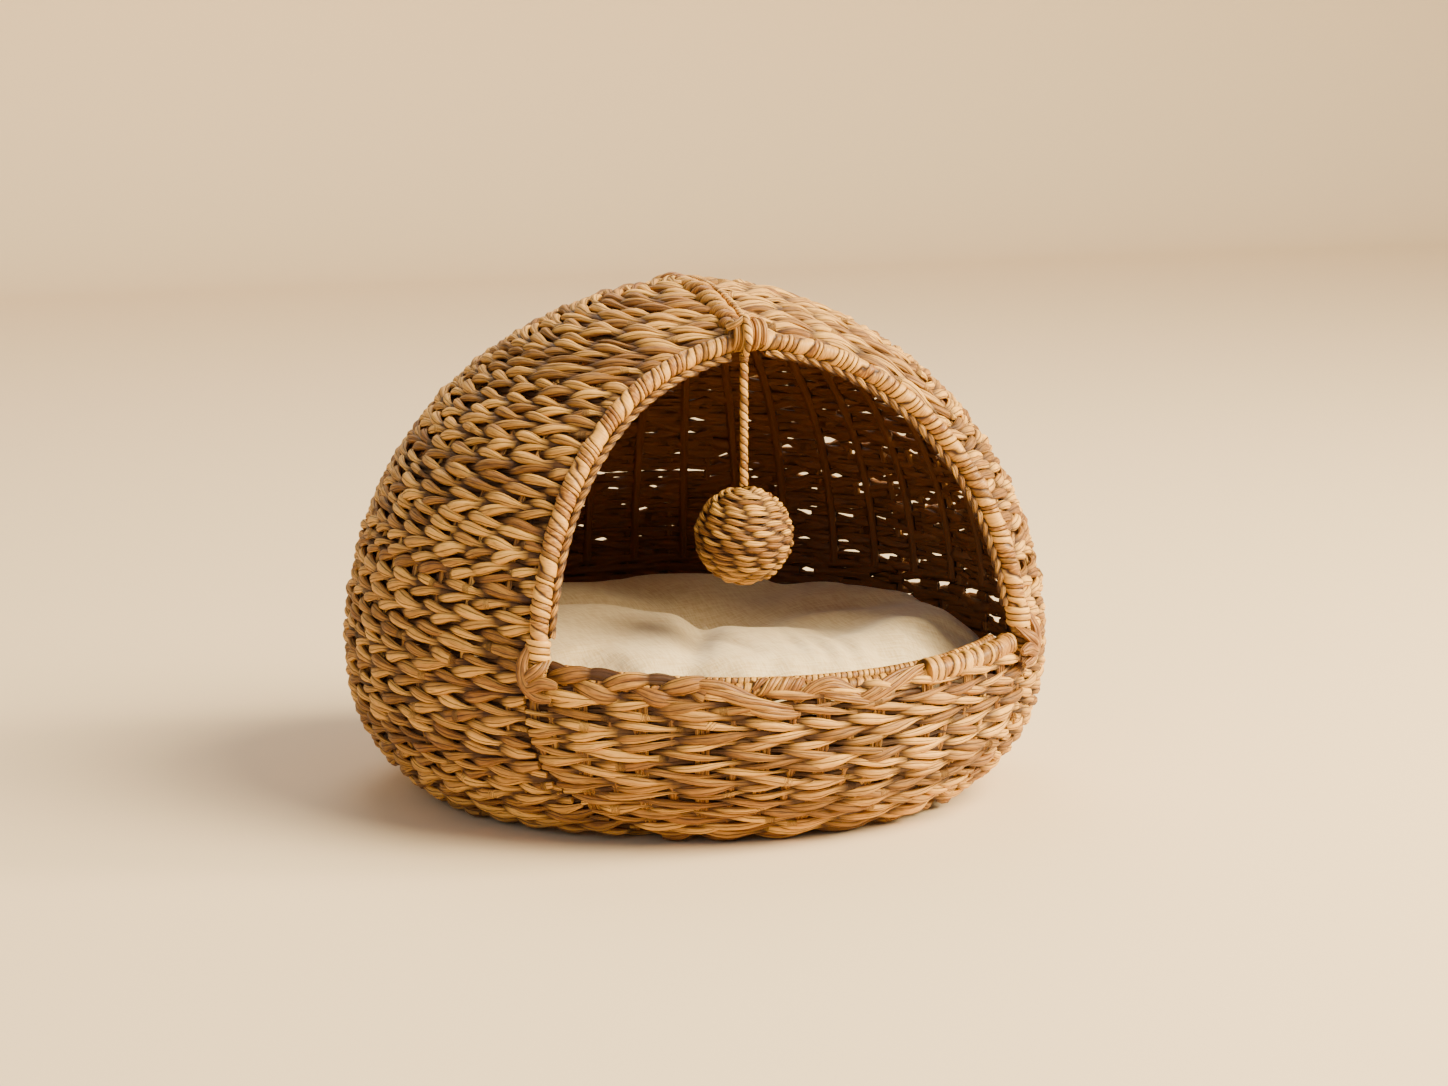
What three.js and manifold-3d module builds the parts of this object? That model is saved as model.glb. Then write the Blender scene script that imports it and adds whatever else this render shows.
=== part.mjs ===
// A dome-shaped cat bed woven from dried plant fibre, with a wrapped arch round
// its mouth, a plaited front rim, a whip-stitched ridge, a hanging toy ball and
// a tufted cushion. Millimetres, +Z up, the mouth faces -Y, and the origin is
// the middle of the foot, on the surface that the bed stands on.
import * as THREE from 'three';
import { mergeVertices } from 'three/addons/utils/BufferGeometryUtils.js';
import Module from 'manifold-3d';

const wasm = await Module();
wasm.setup();

// Driving dimensions
const WIDEST_RADIUS = 250;
const WIDEST_HEIGHT = 107;
const CROWN_HEIGHT = 360;
const FOOT_RADIUS = 188;
const BELLY_POWER = 2.4;
const WALL = 12;
const FIT = 0.3;
const TURNS = 32;
const INNER_RINGS = 18;
const CUTTER_MARGIN = 20;

// Weave: height of one woven row along the wall, and how deep the groove
// between two rows is. The largest light gaps are cut through the wall.
const ROW_PITCH = 15.8;
const ROW_GROOVE = 2.5;
const GAP_WIDTH = 10;
const GAP_HEIGHT = 5;
const GAP_SPACING = 81;
const GAP_ROWS = { first: 9, last: 19, every: 2 };
const GAP_SECTOR = { from: -22, to: 202 };

// Mouth: the hoop stands at MOUTH_REACH in front of the axis up to MOUTH_FOOT,
// and leans back above it, by a slope and by a growing bend.
const MOUTH_REACH = 172;
const MOUTH_FOOT = 122;
const MOUTH_SLOPE = 0.066;
const MOUTH_BEND = 0.00104;
const MOUTH_PEAK = { rise: 4, spread: 45 };
const HOOP_DEPTH = 4;
const HOOP_RADIUS = 6;
const INNER_ROW_RADIUS = 3.4;
const WRAP_RADIUS = 8.6;
const WRAP_LENGTH = 14;
const SLEEVE_SIDES = 10;

// Front rim
const RIM_RADIUS = 8;
const RIM_DIP = 7;
const RIM_ROD_RADIUS = 3.8;
const RIM_ROD_OFFSET = { inward: 13.2, up: 2 };
const BAND_ANGLE = 20.5;
const BAND_RADIUS = 9.8;
const BAND_LENGTH = 14;

// Ridge and apex
const RIDGE_X = -8;
const RIDGE_RADIUS = 7.3;
const RIDGE_BAND = 5.6;
const RIDGE_END = 62;
const RIDGE_CORD_RADIUS = 2.5;
const KNOT_RADIUS = 12;
const KNOT_RISE = 4;
const KNOT_LENGTH = 28;
const KNOT_TURNS = 4;

// Hanging toy
const TOY_X = -9;
const LOOP_RADIUS = 2.5;
const HITCH_RADIUS = 3.5;
const HITCH_ANGLE = 250;
const CORD_RADIUS = 2.8;
const CORD_LAY = 17;
const BALL_RADIUS = 34.5;
const BALL_HEIGHT = 198;
const BALL_ROWS = 11;

// Base and cushion
const BASE_THICKNESS = 9.7;
const BASE_GAP = 0.4;
const BASE_CHAMFER = { wide: 4, high: 3 };
const FOOT_RING = 11;
const CUSHION_RADIUS = 230;
const CUSHION_TOP = 112;
const CUSHION_WAIST = 66;
const CUSHION_CLEARANCE = 4;
const CUSHION_LOFT = 12;
const CUSHION_ROUNDING = { top: 5, underside: 4 };
const TUFT = { x: 14, y: 14, depth: 19, reach: 54 };
const CREASES = [
  { angle: -113, depth: 10, width: 16, run: 200 },
  { angle: -50, depth: 11, width: 26, run: 140 },
  { angle: -8, depth: 8, width: 26, run: 190 },
  { angle: 40, depth: 9, width: 32, run: 125 },
  { angle: 102, depth: 9, width: 28, run: 155 },
];

const degrees = THREE.MathUtils.degToRad;
const colours = { fibre: 0xc2965f, light: 0xd2ac78, dark: 0x9a7040, linen: 0xd9c6a8 };
const along = (from, to, count) =>
  Array.from({ length: count + 1 }, (_, i) => from + ((to - from) * i) / count);

// Solids: a closed geometry becomes a manifold solid, and back.
function solid(geometry) {
  const bare = new THREE.BufferGeometry();
  bare.setAttribute('position', geometry.getAttribute('position'));
  if (geometry.index) bare.setIndex(geometry.index);
  const merged = mergeVertices(bare, 1e-3);
  const corner = merged.index.array;
  const kept = [];
  for (let i = 0; i < corner.length; i += 3) {
    const [a, b, c] = [corner[i], corner[i + 1], corner[i + 2]];
    if (a !== b && b !== c && c !== a) kept.push(a, b, c);
  }
  const points = merged.getAttribute('position').array;
  const triVerts = volume(points, kept) > 0 ? kept : kept.reverse();
  const mesh = {
    numProp: 3,
    vertProperties: new Float32Array(points),
    triVerts: new Uint32Array(triVerts),
  };
  return new wasm.Manifold(new wasm.Mesh(mesh));
}

function volume(points, corners) {
  const at = (i) => new THREE.Vector3().fromArray(points, 3 * i);
  let sum = 0;
  for (let i = 0; i < corners.length; i += 3) {
    sum += at(corners[i]).dot(at(corners[i + 1]).cross(at(corners[i + 2])));
  }
  return sum / 6;
}

function geometryOf(manifold) {
  const { vertProperties, triVerts } = manifold.getMesh();
  const geometry = new THREE.BufferGeometry();
  geometry.setAttribute('position', new THREE.BufferAttribute(new Float32Array(vertProperties), 3));
  geometry.setIndex([...triVerts]);
  geometry.computeVertexNormals();
  return geometry;
}

// Wall line: the outer outline from the crown down to the foot, measured by
// the distance along it, and a depth into the wall.
const bellyDrop = WIDEST_HEIGHT / (1 - (FOOT_RADIUS / WIDEST_RADIUS) ** BELLY_POWER) ** (1 / BELLY_POWER);

function outline(t) {
  if (t < 0.75) {
    const turn = (t / 0.75) * (Math.PI / 2);
    const rise = CROWN_HEIGHT - WIDEST_HEIGHT;
    return new THREE.Vector2(WIDEST_RADIUS * Math.sin(turn), WIDEST_HEIGHT + rise * Math.cos(turn));
  }
  const z = WIDEST_HEIGHT * (1 - (t - 0.75) / 0.25);
  const drop = (WIDEST_HEIGHT - z) / bellyDrop;
  return new THREE.Vector2(WIDEST_RADIUS * (1 - drop ** BELLY_POWER) ** (1 / BELLY_POWER), z);
}

const wallLine = along(0, 1, 800).map(outline);
const wallRun = [0];
wallLine.forEach((p, i) => i && wallRun.push(wallRun[i - 1] + p.distanceTo(wallLine[i - 1])));
const WALL_LENGTH = wallRun[wallRun.length - 1];
const ROWS = Math.round(WALL_LENGTH / ROW_PITCH);

function wallPoint(distance, depth) {
  const i = Math.min(Math.max(wallRun.findIndex((run) => run >= distance), 1), wallLine.length - 1);
  const share = (distance - wallRun[i - 1]) / (wallRun[i] - wallRun[i - 1]);
  const tangent = wallLine[i].clone().sub(wallLine[i - 1]).normalize();
  const outward = new THREE.Vector2(-tangent.y, tangent.x);
  return wallLine[i - 1].clone().lerp(wallLine[i], share).addScaledVector(outward, -depth);
}

// Distance along the wall line at which the wall stands at a height.
function runAtHeight(z) {
  const i = wallLine.findIndex((p) => p.y <= z);
  const share = (wallLine[i - 1].y - z) / (wallLine[i - 1].y - wallLine[i].y);
  return wallRun[i - 1] + share * (wallRun[i] - wallRun[i - 1]);
}

// Radius of the face that lies at a depth inside the wall, at a true height.
const faces = new Map();
function radiusAt(z, depth) {
  if (!faces.has(depth)) faces.set(depth, along(0, WALL_LENGTH, 400).map((run) => wallPoint(run, depth)));
  const face = faces.get(depth);
  const i = Math.max(face.findIndex((p) => p.y <= z), 1);
  if (face[face.length - 1].y > z) return face[face.length - 1].x;
  const share = (face[i - 1].y - z) / (face[i - 1].y - face[i].y);
  return face[i - 1].x + share * (face[i].x - face[i - 1].x);
}

const mouthReach = (z) => {
  const above = Math.max(z - MOUTH_FOOT, 0);
  return MOUTH_REACH - MOUTH_SLOPE * above - MOUTH_BEND * above * above;
};

function lathe(profile, turns) {
  const geometry = new THREE.LatheGeometry(profile, turns);
  return geometry.rotateX(Math.PI / 2);
}

// The whole woven dome before its mouth is cut, with each row as a rib.
function domeSolid() {
  const inner = along(0, WALL_LENGTH, INNER_RINGS).map((run) => wallPoint(run, WALL));
  const outer = along(WALL_LENGTH, 0, 2 * ROWS).map((run, i) => wallPoint(run, i % 2 ? 0 : ROW_GROOVE));
  inner[0].set(0, CROWN_HEIGHT - WALL);
  outer[0].set(FOOT_RADIUS, 0);
  outer[outer.length - 1].set(0, CROWN_HEIGHT);
  const foot = new THREE.Vector2(FOOT_RADIUS - FOOT_RING, 0);
  return solid(lathe([...inner, foot, ...outer], TURNS));
}

const basis = (...axes) =>
  new THREE.Matrix4().makeBasis(...axes.map((axis) => new THREE.Vector3(...axis)));

// A shape drawn in the Y-Z plane, extruded across the whole bed along X.
function acrossX(points, from, to) {
  const settings = { depth: to - from, bevelEnabled: false };
  const geometry = new THREE.ExtrudeGeometry(new THREE.Shape(points), settings);
  geometry.applyMatrix4(basis([0, 1, 0], [0, 0, 1], [1, 0, 0]).setPosition(from, 0, 0));
  return solid(geometry);
}

// A tube along a curve. swell gives its radius factor at each step.
function tube(curve, radius, steps, sides, swell = () => 1) {
  const ring = along(0, 2 * Math.PI, sides).slice(0, -1);
  const section = new THREE.Shape(
    ring.map((a) => new THREE.Vector2(Math.cos(a), Math.sin(a)).multiplyScalar(radius)),
  );
  const geometry = new THREE.ExtrudeGeometry(section, { steps, extrudePath: curve, bevelEnabled: false });
  const centres = curve.getSpacedPoints(steps);
  const position = geometry.getAttribute('position');
  for (let i = 0; i < position.count; i += 1) {
    const point = new THREE.Vector3().fromBufferAttribute(position, i);
    const gaps = centres.map((centre) => centre.distanceToSquared(point));
    const step = gaps.indexOf(Math.min(...gaps));
    point.sub(centres[step]).multiplyScalar(swell(step)).add(centres[step]);
    position.setXYZ(i, point.x, point.y, point.z);
  }
  return geometry;
}

// Radius of a bore's corners whose flats clear a rod of a radius.
const bore = (radius, sides) => (radius + FIT) / Math.cos(Math.PI / sides);

const smooth = (points) => new THREE.CatmullRomCurve3(points, false, 'centripetal');

// Hoop line at a depth in the wall and a setback behind the mouth's plane,
// from one height on the left leg, over the top, to the same on the right.
function mouthPoint(z, depth, setback, side) {
  const radius = radiusAt(z, depth);
  const y = -(mouthReach(z) - setback);
  const x = Math.sqrt(Math.max(radius * radius - y * y, 0));
  return new THREE.Vector3(side * x, y, z + MOUTH_PEAK.rise * Math.exp(-x / MOUTH_PEAK.spread));
}

function mouthTop(depth, setback) {
  let [low, high] = [MOUTH_FOOT, CROWN_HEIGHT - 1];
  while (high - low > 0.01) {
    const middle = (low + high) / 2;
    if (radiusAt(middle, depth) > mouthReach(middle) - setback) low = middle;
    else high = middle;
  }
  return low;
}

function mouthLeg(foot, depth, setback, side) {
  const top = mouthTop(depth, setback);
  const heights = along(0, Math.PI / 2, 16).map((a) => foot + (top - foot) * Math.sin(a));
  return heights.map((z) => mouthPoint(z, depth, setback, side));
}

function mouthLine(foot, depth, setback) {
  const left = mouthLeg(foot, depth, setback, -1);
  const right = mouthLeg(foot, depth, setback, 1).reverse();
  return smooth([...left, ...right.slice(1)]);
}

// Line of the thin row inside the hoop, from one share of the hoop's length to another.
function innerRowLine(from, to) {
  const points = along(from, to, 16).map((t) => {
    const p = hoopLine.getPointAt(t);
    const lean = MOUTH_SLOPE + 2 * MOUTH_BEND * (p.z - MOUTH_FOOT);
    const forward = new THREE.Vector3(0, -1, lean).normalize();
    const inward = forward.cross(hoopLine.getTangentAt(t)).normalize().negate();
    return p.addScaledVector(inward, HOOP_RADIUS + 1.5 * FIT + INNER_ROW_RADIUS);
  });
  return smooth(points);
}

// Rim line: over the front panel, dipping in the middle.
const rimSpread = Math.asin(Math.sqrt(1 - (MOUTH_REACH / radiusAt(MOUTH_FOOT, WALL / 2)) ** 2));
const rimHeight = (angle) => MOUTH_FOOT - RIM_DIP * Math.max(1 - (angle / rimSpread) ** 2, 0);

function rimLine(from, to, inset, lift) {
  const points = along(from, to, 16).map((angle) => {
    const z = rimHeight(angle);
    const radius = radiusAt(z, 0) - inset;
    return new THREE.Vector3(radius * Math.sin(angle), -radius * Math.cos(angle), z + lift);
  });
  return smooth(points);
}

// Part of a curve, as a curve of its own.
function stretch(curve, from, to) {
  return smooth(along(from, to, 8).map((t) => curve.getPointAt(t)));
}

const apex = mouthPoint(mouthTop(HOOP_DEPTH, 0), HOOP_DEPTH, 0, 0);
const hoopFoot = MOUTH_FOOT - RIM_RADIUS + FIT;
const hoopLine = mouthLine(hoopFoot, HOOP_DEPTH, 0);
const hoopLength = hoopLine.getLength();
const wrapFrom = (MOUTH_FOOT + RIM_RADIUS + 2 - hoopFoot) / hoopLength;
const wrapTo = wrapFrom + WRAP_LENGTH / hoopLength;
const rowFrom = wrapTo + 4 / hoopLength;
const rowTo = 0.5 - (KNOT_LENGTH / 2 + 12) / hoopLength;
const edgeGap = HOOP_RADIUS + 2 * FIT;
const legs = [
  { side: 'left', wrap: [wrapFrom, wrapTo], row: [rowFrom, rowTo] },
  { side: 'right', wrap: [1 - wrapTo, 1 - wrapFrom], row: [1 - rowTo, 1 - rowFrom] },
];

// The rim stops short of the hoop's legs.
const rimEnd = rimSpread - (HOOP_RADIUS + RIM_RADIUS / 2) / WIDEST_RADIUS;
const rimInset = RIM_RADIUS + FIT;
const rimCentre = rimLine(-rimEnd, rimEnd, rimInset, 0);
const rimRodLine = rimLine(-rimEnd, rimEnd, rimInset + RIM_ROD_OFFSET.inward, RIM_ROD_OFFSET.up);
const bandMiddle = (degrees(BAND_ANGLE) + rimEnd) / (2 * rimEnd);
const bandHalf = BAND_LENGTH / 2 / rimCentre.getLength();
const bandLine = stretch(rimCentre, bandMiddle - bandHalf, bandMiddle + bandHalf);
const bandSpace = stretch(rimCentre, bandMiddle - 1.1 * bandHalf, bandMiddle + 1.1 * bandHalf);

// Ridge line: up from the apex, over the crown and a little way down behind.
function crownPoint(run, x, depth) {
  const p = wallPoint(Math.abs(run), depth);
  return new THREE.Vector3(x, Math.sign(run) * p.x || 0, p.y);
}

const apexRun = runAtHeight(apex.z);
function ridgeLine(from, to, x, lift) {
  return smooth(along(from, to, 14).map((run) => crownPoint(run, x, -lift)));
}

const ridgeStart = -(apexRun - KNOT_RADIUS - RIDGE_RADIUS);
const ridgeCurve = ridgeLine(ridgeStart, RIDGE_END, RIDGE_X, 0);
const ridgeGroove = ridgeLine(ridgeStart - RIDGE_RADIUS, RIDGE_END + FIT, RIDGE_X, 0);
const ridgeCordLift = RIDGE_CORD_RADIUS + FIT;
const ridgeCordX = RIDGE_X + Math.sqrt((RIDGE_RADIUS + RIDGE_CORD_RADIUS + FIT) ** 2 - ridgeCordLift ** 2);
const ridgeCordCurve = ridgeLine(ridgeStart, RIDGE_END - 4, ridgeCordX, ridgeCordLift);

// Knot round the hoop's top: a ribbed drum along X, a little above the hoop.
function knotDrum(radius, groove, margin) {
  const half = KNOT_LENGTH / 2 + margin;
  const count = 2 * KNOT_TURNS;
  const ribs = along(-half, half, count).map((x, i) => new THREE.Vector2(radius - (i % 2 ? 0 : groove), x));
  const profile = [new THREE.Vector2(0, -half), ...ribs, new THREE.Vector2(0, half)];
  const geometry = new THREE.LatheGeometry(profile, 16).rotateZ(-Math.PI / 2);
  return geometry.translate(RIDGE_X + 2, apex.y, apex.z + KNOT_RISE);
}

// Light gaps: small diamond slots along the wall's normal, one for every
// third stake in every second row, staggered from row to row.
function gapCutter() {
  const [w, h] = [GAP_WIDTH / 2, GAP_HEIGHT / 2];
  const corners = [[w, 0], [0, h], [-w, 0], [0, -h]];
  const outlineOfGap = new THREE.Shape(corners.map(([x, y]) => new THREE.Vector2(x, y)));
  const cutters = [];
  for (let row = GAP_ROWS.first; row <= GAP_ROWS.last; row += GAP_ROWS.every) {
    const run = ((row + 0.25) * WALL_LENGTH) / ROWS;
    const middle = wallPoint(run, WALL / 2);
    const stagger = ((row - GAP_ROWS.first) / GAP_ROWS.every) % 2 ? 0.5 : 0;
    const step = THREE.MathUtils.radToDeg(GAP_SPACING / middle.x);
    const tilt = wallPoint(run, 0).sub(middle).angle();
    for (let angle = GAP_SECTOR.from + stagger * step; angle <= GAP_SECTOR.to; angle += step) {
      const depth = 2 * WALL;
      const slot = new THREE.ExtrudeGeometry(outlineOfGap, { depth, bevelEnabled: false });
      slot.translate(0, 0, -depth / 2).rotateX(Math.PI / 2).rotateZ(Math.PI / 2);
      slot.rotateY(-tilt).translate(middle.x, 0, middle.y).rotateZ(degrees(angle));
      cutters.push(solid(slot));
    }
  }
  return wasm.Manifold.union(cutters);
}

// Pieces of the woven body
const dome = domeSolid();
const mouthEdge = along(MOUTH_FOOT, CROWN_HEIGHT + CUTTER_MARGIN, 26).map((z) => {
  const lean = MOUTH_SLOPE + 2 * MOUTH_BEND * (z - MOUTH_FOOT);
  const behind = new THREE.Vector2(1, -lean).setLength(edgeGap);
  return new THREE.Vector2(-mouthReach(z), z).add(behind);
});
const farFront = -WIDEST_RADIUS - CUTTER_MARGIN;

// The space in the shell for the wrap at a leg's foot, a little longer than the wrap.
function wrapSpace({ wrap: [from, to] }) {
  const slack = 1 / hoopLength;
  const line = stretch(hoopLine, from - slack, to + slack);
  return solid(tube(line, bore(WRAP_RADIUS, SLEEVE_SIDES), 3, SLEEVE_SIDES));
}

function shellSolid() {
  const mouth = [
    new THREE.Vector2(farFront, -CUTTER_MARGIN),
    new THREE.Vector2(mouthEdge[0].x, -CUTTER_MARGIN),
    ...mouthEdge,
    new THREE.Vector2(farFront, CROWN_HEIGHT + CUTTER_MARGIN),
  ];
  return dome
    .subtract(acrossX(mouth, farFront, -farFront))
    .subtract(solid(tube(ridgeGroove, RIDGE_RADIUS + 3 * FIT, 16, 10)))
    .subtract(solid(knotDrum(KNOT_RADIUS + FIT, 0, FIT)))
    .subtract(wrapSpace(legs[0]))
    .subtract(wrapSpace(legs[1]))
    .subtract(gapCutter());
}

// The low front wall: the dome's front between the mouth's legs, below the rim.
// The space above it is drawn with -z upwards and extruded back to the axis.
function frontPanelSolid() {
  const seam = mouthEdge[0].x - FIT;
  const rectangle = [
    new THREE.Vector2(farFront, -CUTTER_MARGIN),
    new THREE.Vector2(seam, -CUTTER_MARGIN),
    new THREE.Vector2(seam, MOUTH_FOOT),
    new THREE.Vector2(farFront, MOUTH_FOOT),
  ];
  const slab = acrossX(rectangle, farFront, -farFront);
  const lid = new THREE.Shape();
  const angles = along(-1.1 * rimSpread, 1.1 * rimSpread, 24);
  angles.forEach((angle, i) => {
    const x = radiusAt(MOUTH_FOOT, WALL / 2) * Math.sin(angle);
    const z = rimHeight(angle) - RIM_RADIUS - FIT;
    if (i) lid.lineTo(x, -z);
    else lid.moveTo(x, -z);
  });
  lid.lineTo(WIDEST_RADIUS, -CROWN_HEIGHT);
  lid.lineTo(-WIDEST_RADIUS, -CROWN_HEIGHT);
  const space = new THREE.ExtrudeGeometry(lid, { depth: -farFront, bevelEnabled: false });
  space.applyMatrix4(basis([1, 0, 0], [0, 0, -1], [0, 1, 0]).setPosition(0, farFront, 0));
  return dome
    .intersect(slab)
    .subtract(solid(space))
    .subtract(solid(tube(bandSpace, bore(BAND_RADIUS, SLEEVE_SIDES), 3, SLEEVE_SIDES)));
}

function sleeveSolid(curve, outer, inner, steps) {
  const longer = smooth(along(-0.2, 1.2, 8).map((t) => pointBeyond(curve, t)));
  const hole = tube(longer, bore(inner, SLEEVE_SIDES), steps + 2, SLEEVE_SIDES);
  return solid(tube(curve, outer, steps, SLEEVE_SIDES)).subtract(solid(hole));
}

function pointBeyond(curve, t) {
  const inside = THREE.MathUtils.clamp(t, 0, 1);
  const past = (t - inside) * curve.getLength();
  return curve.getPointAt(inside).addScaledVector(curve.getTangentAt(inside), past);
}

function baseGeometry() {
  const radius = FOOT_RADIUS - FOOT_RING - BASE_GAP;
  const profile = [
    new THREE.Vector2(0, 0),
    new THREE.Vector2(radius, 0),
    new THREE.Vector2(radius, BASE_THICKNESS - BASE_CHAMFER.high),
    new THREE.Vector2(radius - BASE_CHAMFER.wide, BASE_THICKNESS),
    new THREE.Vector2(0, BASE_THICKNESS),
  ];
  return lathe(profile, TURNS);
}

// Cushion: a filled round pad that meets the wall, puffed between creases
// that run out from one tuft near its middle.
function cushionGeometry() {
  const geometry = new THREE.SphereGeometry(1, 48, 18).rotateX(Math.PI / 2);
  const position = geometry.getAttribute('position');
  const floor = BASE_THICKNESS + FIT;
  for (let i = 0; i < position.count; i += 1) {
    const p = new THREE.Vector3().fromBufferAttribute(position, i);
    const share = Math.min(Math.hypot(p.x, p.y), 1);
    const heading = Math.atan2(p.y, p.x);
    const top = p.z > 0;
    const power = top ? CUSHION_ROUNDING.top : CUSHION_ROUNDING.underside;
    const reach = top ? CUSHION_TOP - CUSHION_WAIST : floor - CUSHION_WAIST;
    const round = (1 - share ** power) ** (1 / power);
    const x = CUSHION_RADIUS * share * Math.cos(heading);
    const y = CUSHION_RADIUS * share * Math.sin(heading);
    const z = Math.max(CUSHION_WAIST + reach * round + (top ? puff(x, y) * round : 0), floor);
    const limit = radiusAt(z, WALL) - CUSHION_CLEARANCE;
    const radius = Math.min(CUSHION_RADIUS * share, limit);
    position.setXYZ(i, radius * Math.cos(heading), radius * Math.sin(heading), z);
  }
  return geometry;
}

function puff(x, y) {
  const [dx, dy] = [x - TUFT.x, y - TUFT.y];
  const distance = Math.hypot(dx, dy);
  const heading = Math.atan2(dy, dx);
  let height = CUSHION_LOFT - TUFT.depth * Math.exp(-((distance / TUFT.reach) ** 2));
  for (const { angle, depth, width, run } of CREASES) {
    const apart = heading - degrees(angle);
    const turn = Math.abs(Math.atan2(Math.sin(apart), Math.cos(apart)));
    const aside = turn < Math.PI / 2 ? distance * Math.sin(turn) : distance;
    const held = (1 - Math.exp(-distance / 40)) * Math.exp(-((distance / run) ** 4));
    height -= depth * held * Math.exp(-((aside / width) ** 2));
  }
  return height;
}

// Hanging toy
const knotCentre = { y: apex.y, z: apex.z + KNOT_RISE };
const loopReach = KNOT_RADIUS + FIT + LOOP_RADIUS;
const loopPoint = (angle, reach) => new THREE.Vector3(
  TOY_X,
  knotCentre.y + reach * Math.cos(degrees(angle)),
  knotCentre.z + reach * Math.sin(degrees(angle)),
);
const hitchCentre = loopPoint(HITCH_ANGLE, KNOT_RADIUS + 2 * FIT + HITCH_RADIUS);
const loopEnd = HITCH_ANGLE - THREE.MathUtils.radToDeg((HITCH_RADIUS + 2 * FIT) / loopReach);
const loopCurve = smooth(along(120, loopEnd, 10).map((angle) => loopPoint(angle, loopReach)));
const cordTop = hitchCentre.z - HITCH_RADIUS - FIT;
const cordFoot = BALL_HEIGHT + BALL_RADIUS + FIT;

// The cord's two plies: a twelve-sided section with two waists, turned as it goes down.
function cordGeometry() {
  const ring = along(0, 2 * Math.PI, 12).slice(0, -1);
  const section = new THREE.Shape(ring.map((a) => {
    const radius = CORD_RADIUS * (0.88 + 0.12 * Math.cos(2 * a));
    return new THREE.Vector2(radius * Math.cos(a), radius * Math.sin(a));
  }));
  const depth = cordTop - cordFoot;
  const geometry = new THREE.ExtrudeGeometry(section, { depth, steps: 36, bevelEnabled: false });
  const position = geometry.getAttribute('position');
  for (let i = 0; i < position.count; i += 1) {
    const p = new THREE.Vector3().fromBufferAttribute(position, i);
    p.applyAxisAngle(new THREE.Vector3(0, 0, 1), (2 * Math.PI * p.z) / CORD_LAY);
    position.setXYZ(i, p.x, p.y, p.z);
  }
  return geometry.translate(hitchCentre.x, hitchCentre.y, cordFoot);
}

function ballGeometry() {
  const count = 2 * BALL_ROWS;
  const profile = along(0, Math.PI, count).map((a, i) => {
    const radius = BALL_RADIUS - (i % 2 ? 0 : 1.4);
    return new THREE.Vector2(radius * Math.sin(a), -radius * Math.cos(a));
  });
  profile[0].set(0, -BALL_RADIUS);
  profile[count].set(0, BALL_RADIUS);
  return lathe(profile, 20).translate(hitchCentre.x, hitchCentre.y, BALL_HEIGHT);
}

// Scene graph
const group = new THREE.Group();

function addPiece(name, shape, color, roughness = 0.7) {
  const geometry = shape.isBufferGeometry ? shape : geometryOf(shape);
  const mesh = new THREE.Mesh(geometry, new THREE.MeshStandardMaterial({ color, roughness, metalness: 0 }));
  mesh.name = name;
  group.add(mesh);
}

const plaitSteps = 52;
const plait = (step) => 1 - 0.1 * (step % 4 === 0) - 0.04 * (step % 2);
const whipping = (step) => 1 - 0.1 * (step % 2);
const ridgeSteps = 2 * Math.round(ridgeCurve.getLength() / RIDGE_BAND);
const hoopClearance = solid(tube(hoopLine, bore(HOOP_RADIUS, 8), 48, 8));

addPiece('base', baseGeometry(), colours.dark);
addPiece('shell', shellSolid(), colours.fibre);
addPiece('front_panel', frontPanelSolid(), colours.fibre);
addPiece('arch_hoop', tube(hoopLine, HOOP_RADIUS, 48, 8), colours.light, 0.5);
for (const { side, wrap, row } of legs) {
  const wrapLine = stretch(hoopLine, ...wrap);
  addPiece(`arch_inner_row_${side}`, tube(innerRowLine(...row), INNER_ROW_RADIUS, 20, 6), colours.fibre);
  addPiece(`corner_wrap_${side}`, sleeveSolid(wrapLine, WRAP_RADIUS, HOOP_RADIUS, 3), colours.light);
}
addPiece('rim_plait', tube(rimCentre, RIM_RADIUS, plaitSteps, 8, plait), colours.light, 0.6);
addPiece('rim_band', sleeveSolid(bandLine, BAND_RADIUS, RIM_RADIUS, 3), colours.light);
addPiece('rim_rod', tube(rimRodLine, RIM_ROD_RADIUS, 30, 6), colours.fibre);
addPiece('ridge_rope', tube(ridgeCurve, RIDGE_RADIUS, ridgeSteps, 8, whipping), colours.light);
addPiece('ridge_cord', tube(ridgeCordCurve, RIDGE_CORD_RADIUS, 22, 6), colours.light);
addPiece('apex_knot', solid(knotDrum(KNOT_RADIUS, 1, 0)).subtract(hoopClearance), colours.light);
addPiece('toy_loop', tube(loopCurve, LOOP_RADIUS, 10, 8), colours.light);
addPiece('hitch', new THREE.SphereGeometry(HITCH_RADIUS, 12, 8).translate(...hitchCentre), colours.light);
addPiece('toy_cord', cordGeometry(), colours.light);
addPiece('toy_ball', ballGeometry(), colours.fibre);
addPiece('cushion', cushionGeometry(), colours.linen, 0.9);

export default group;
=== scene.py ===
"""A dome-shaped cat bed woven from dried plant fibre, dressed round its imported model.

Lengths are millimetres until a mesh is made. The mouth faces -Y and +Z is up.
"""

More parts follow.
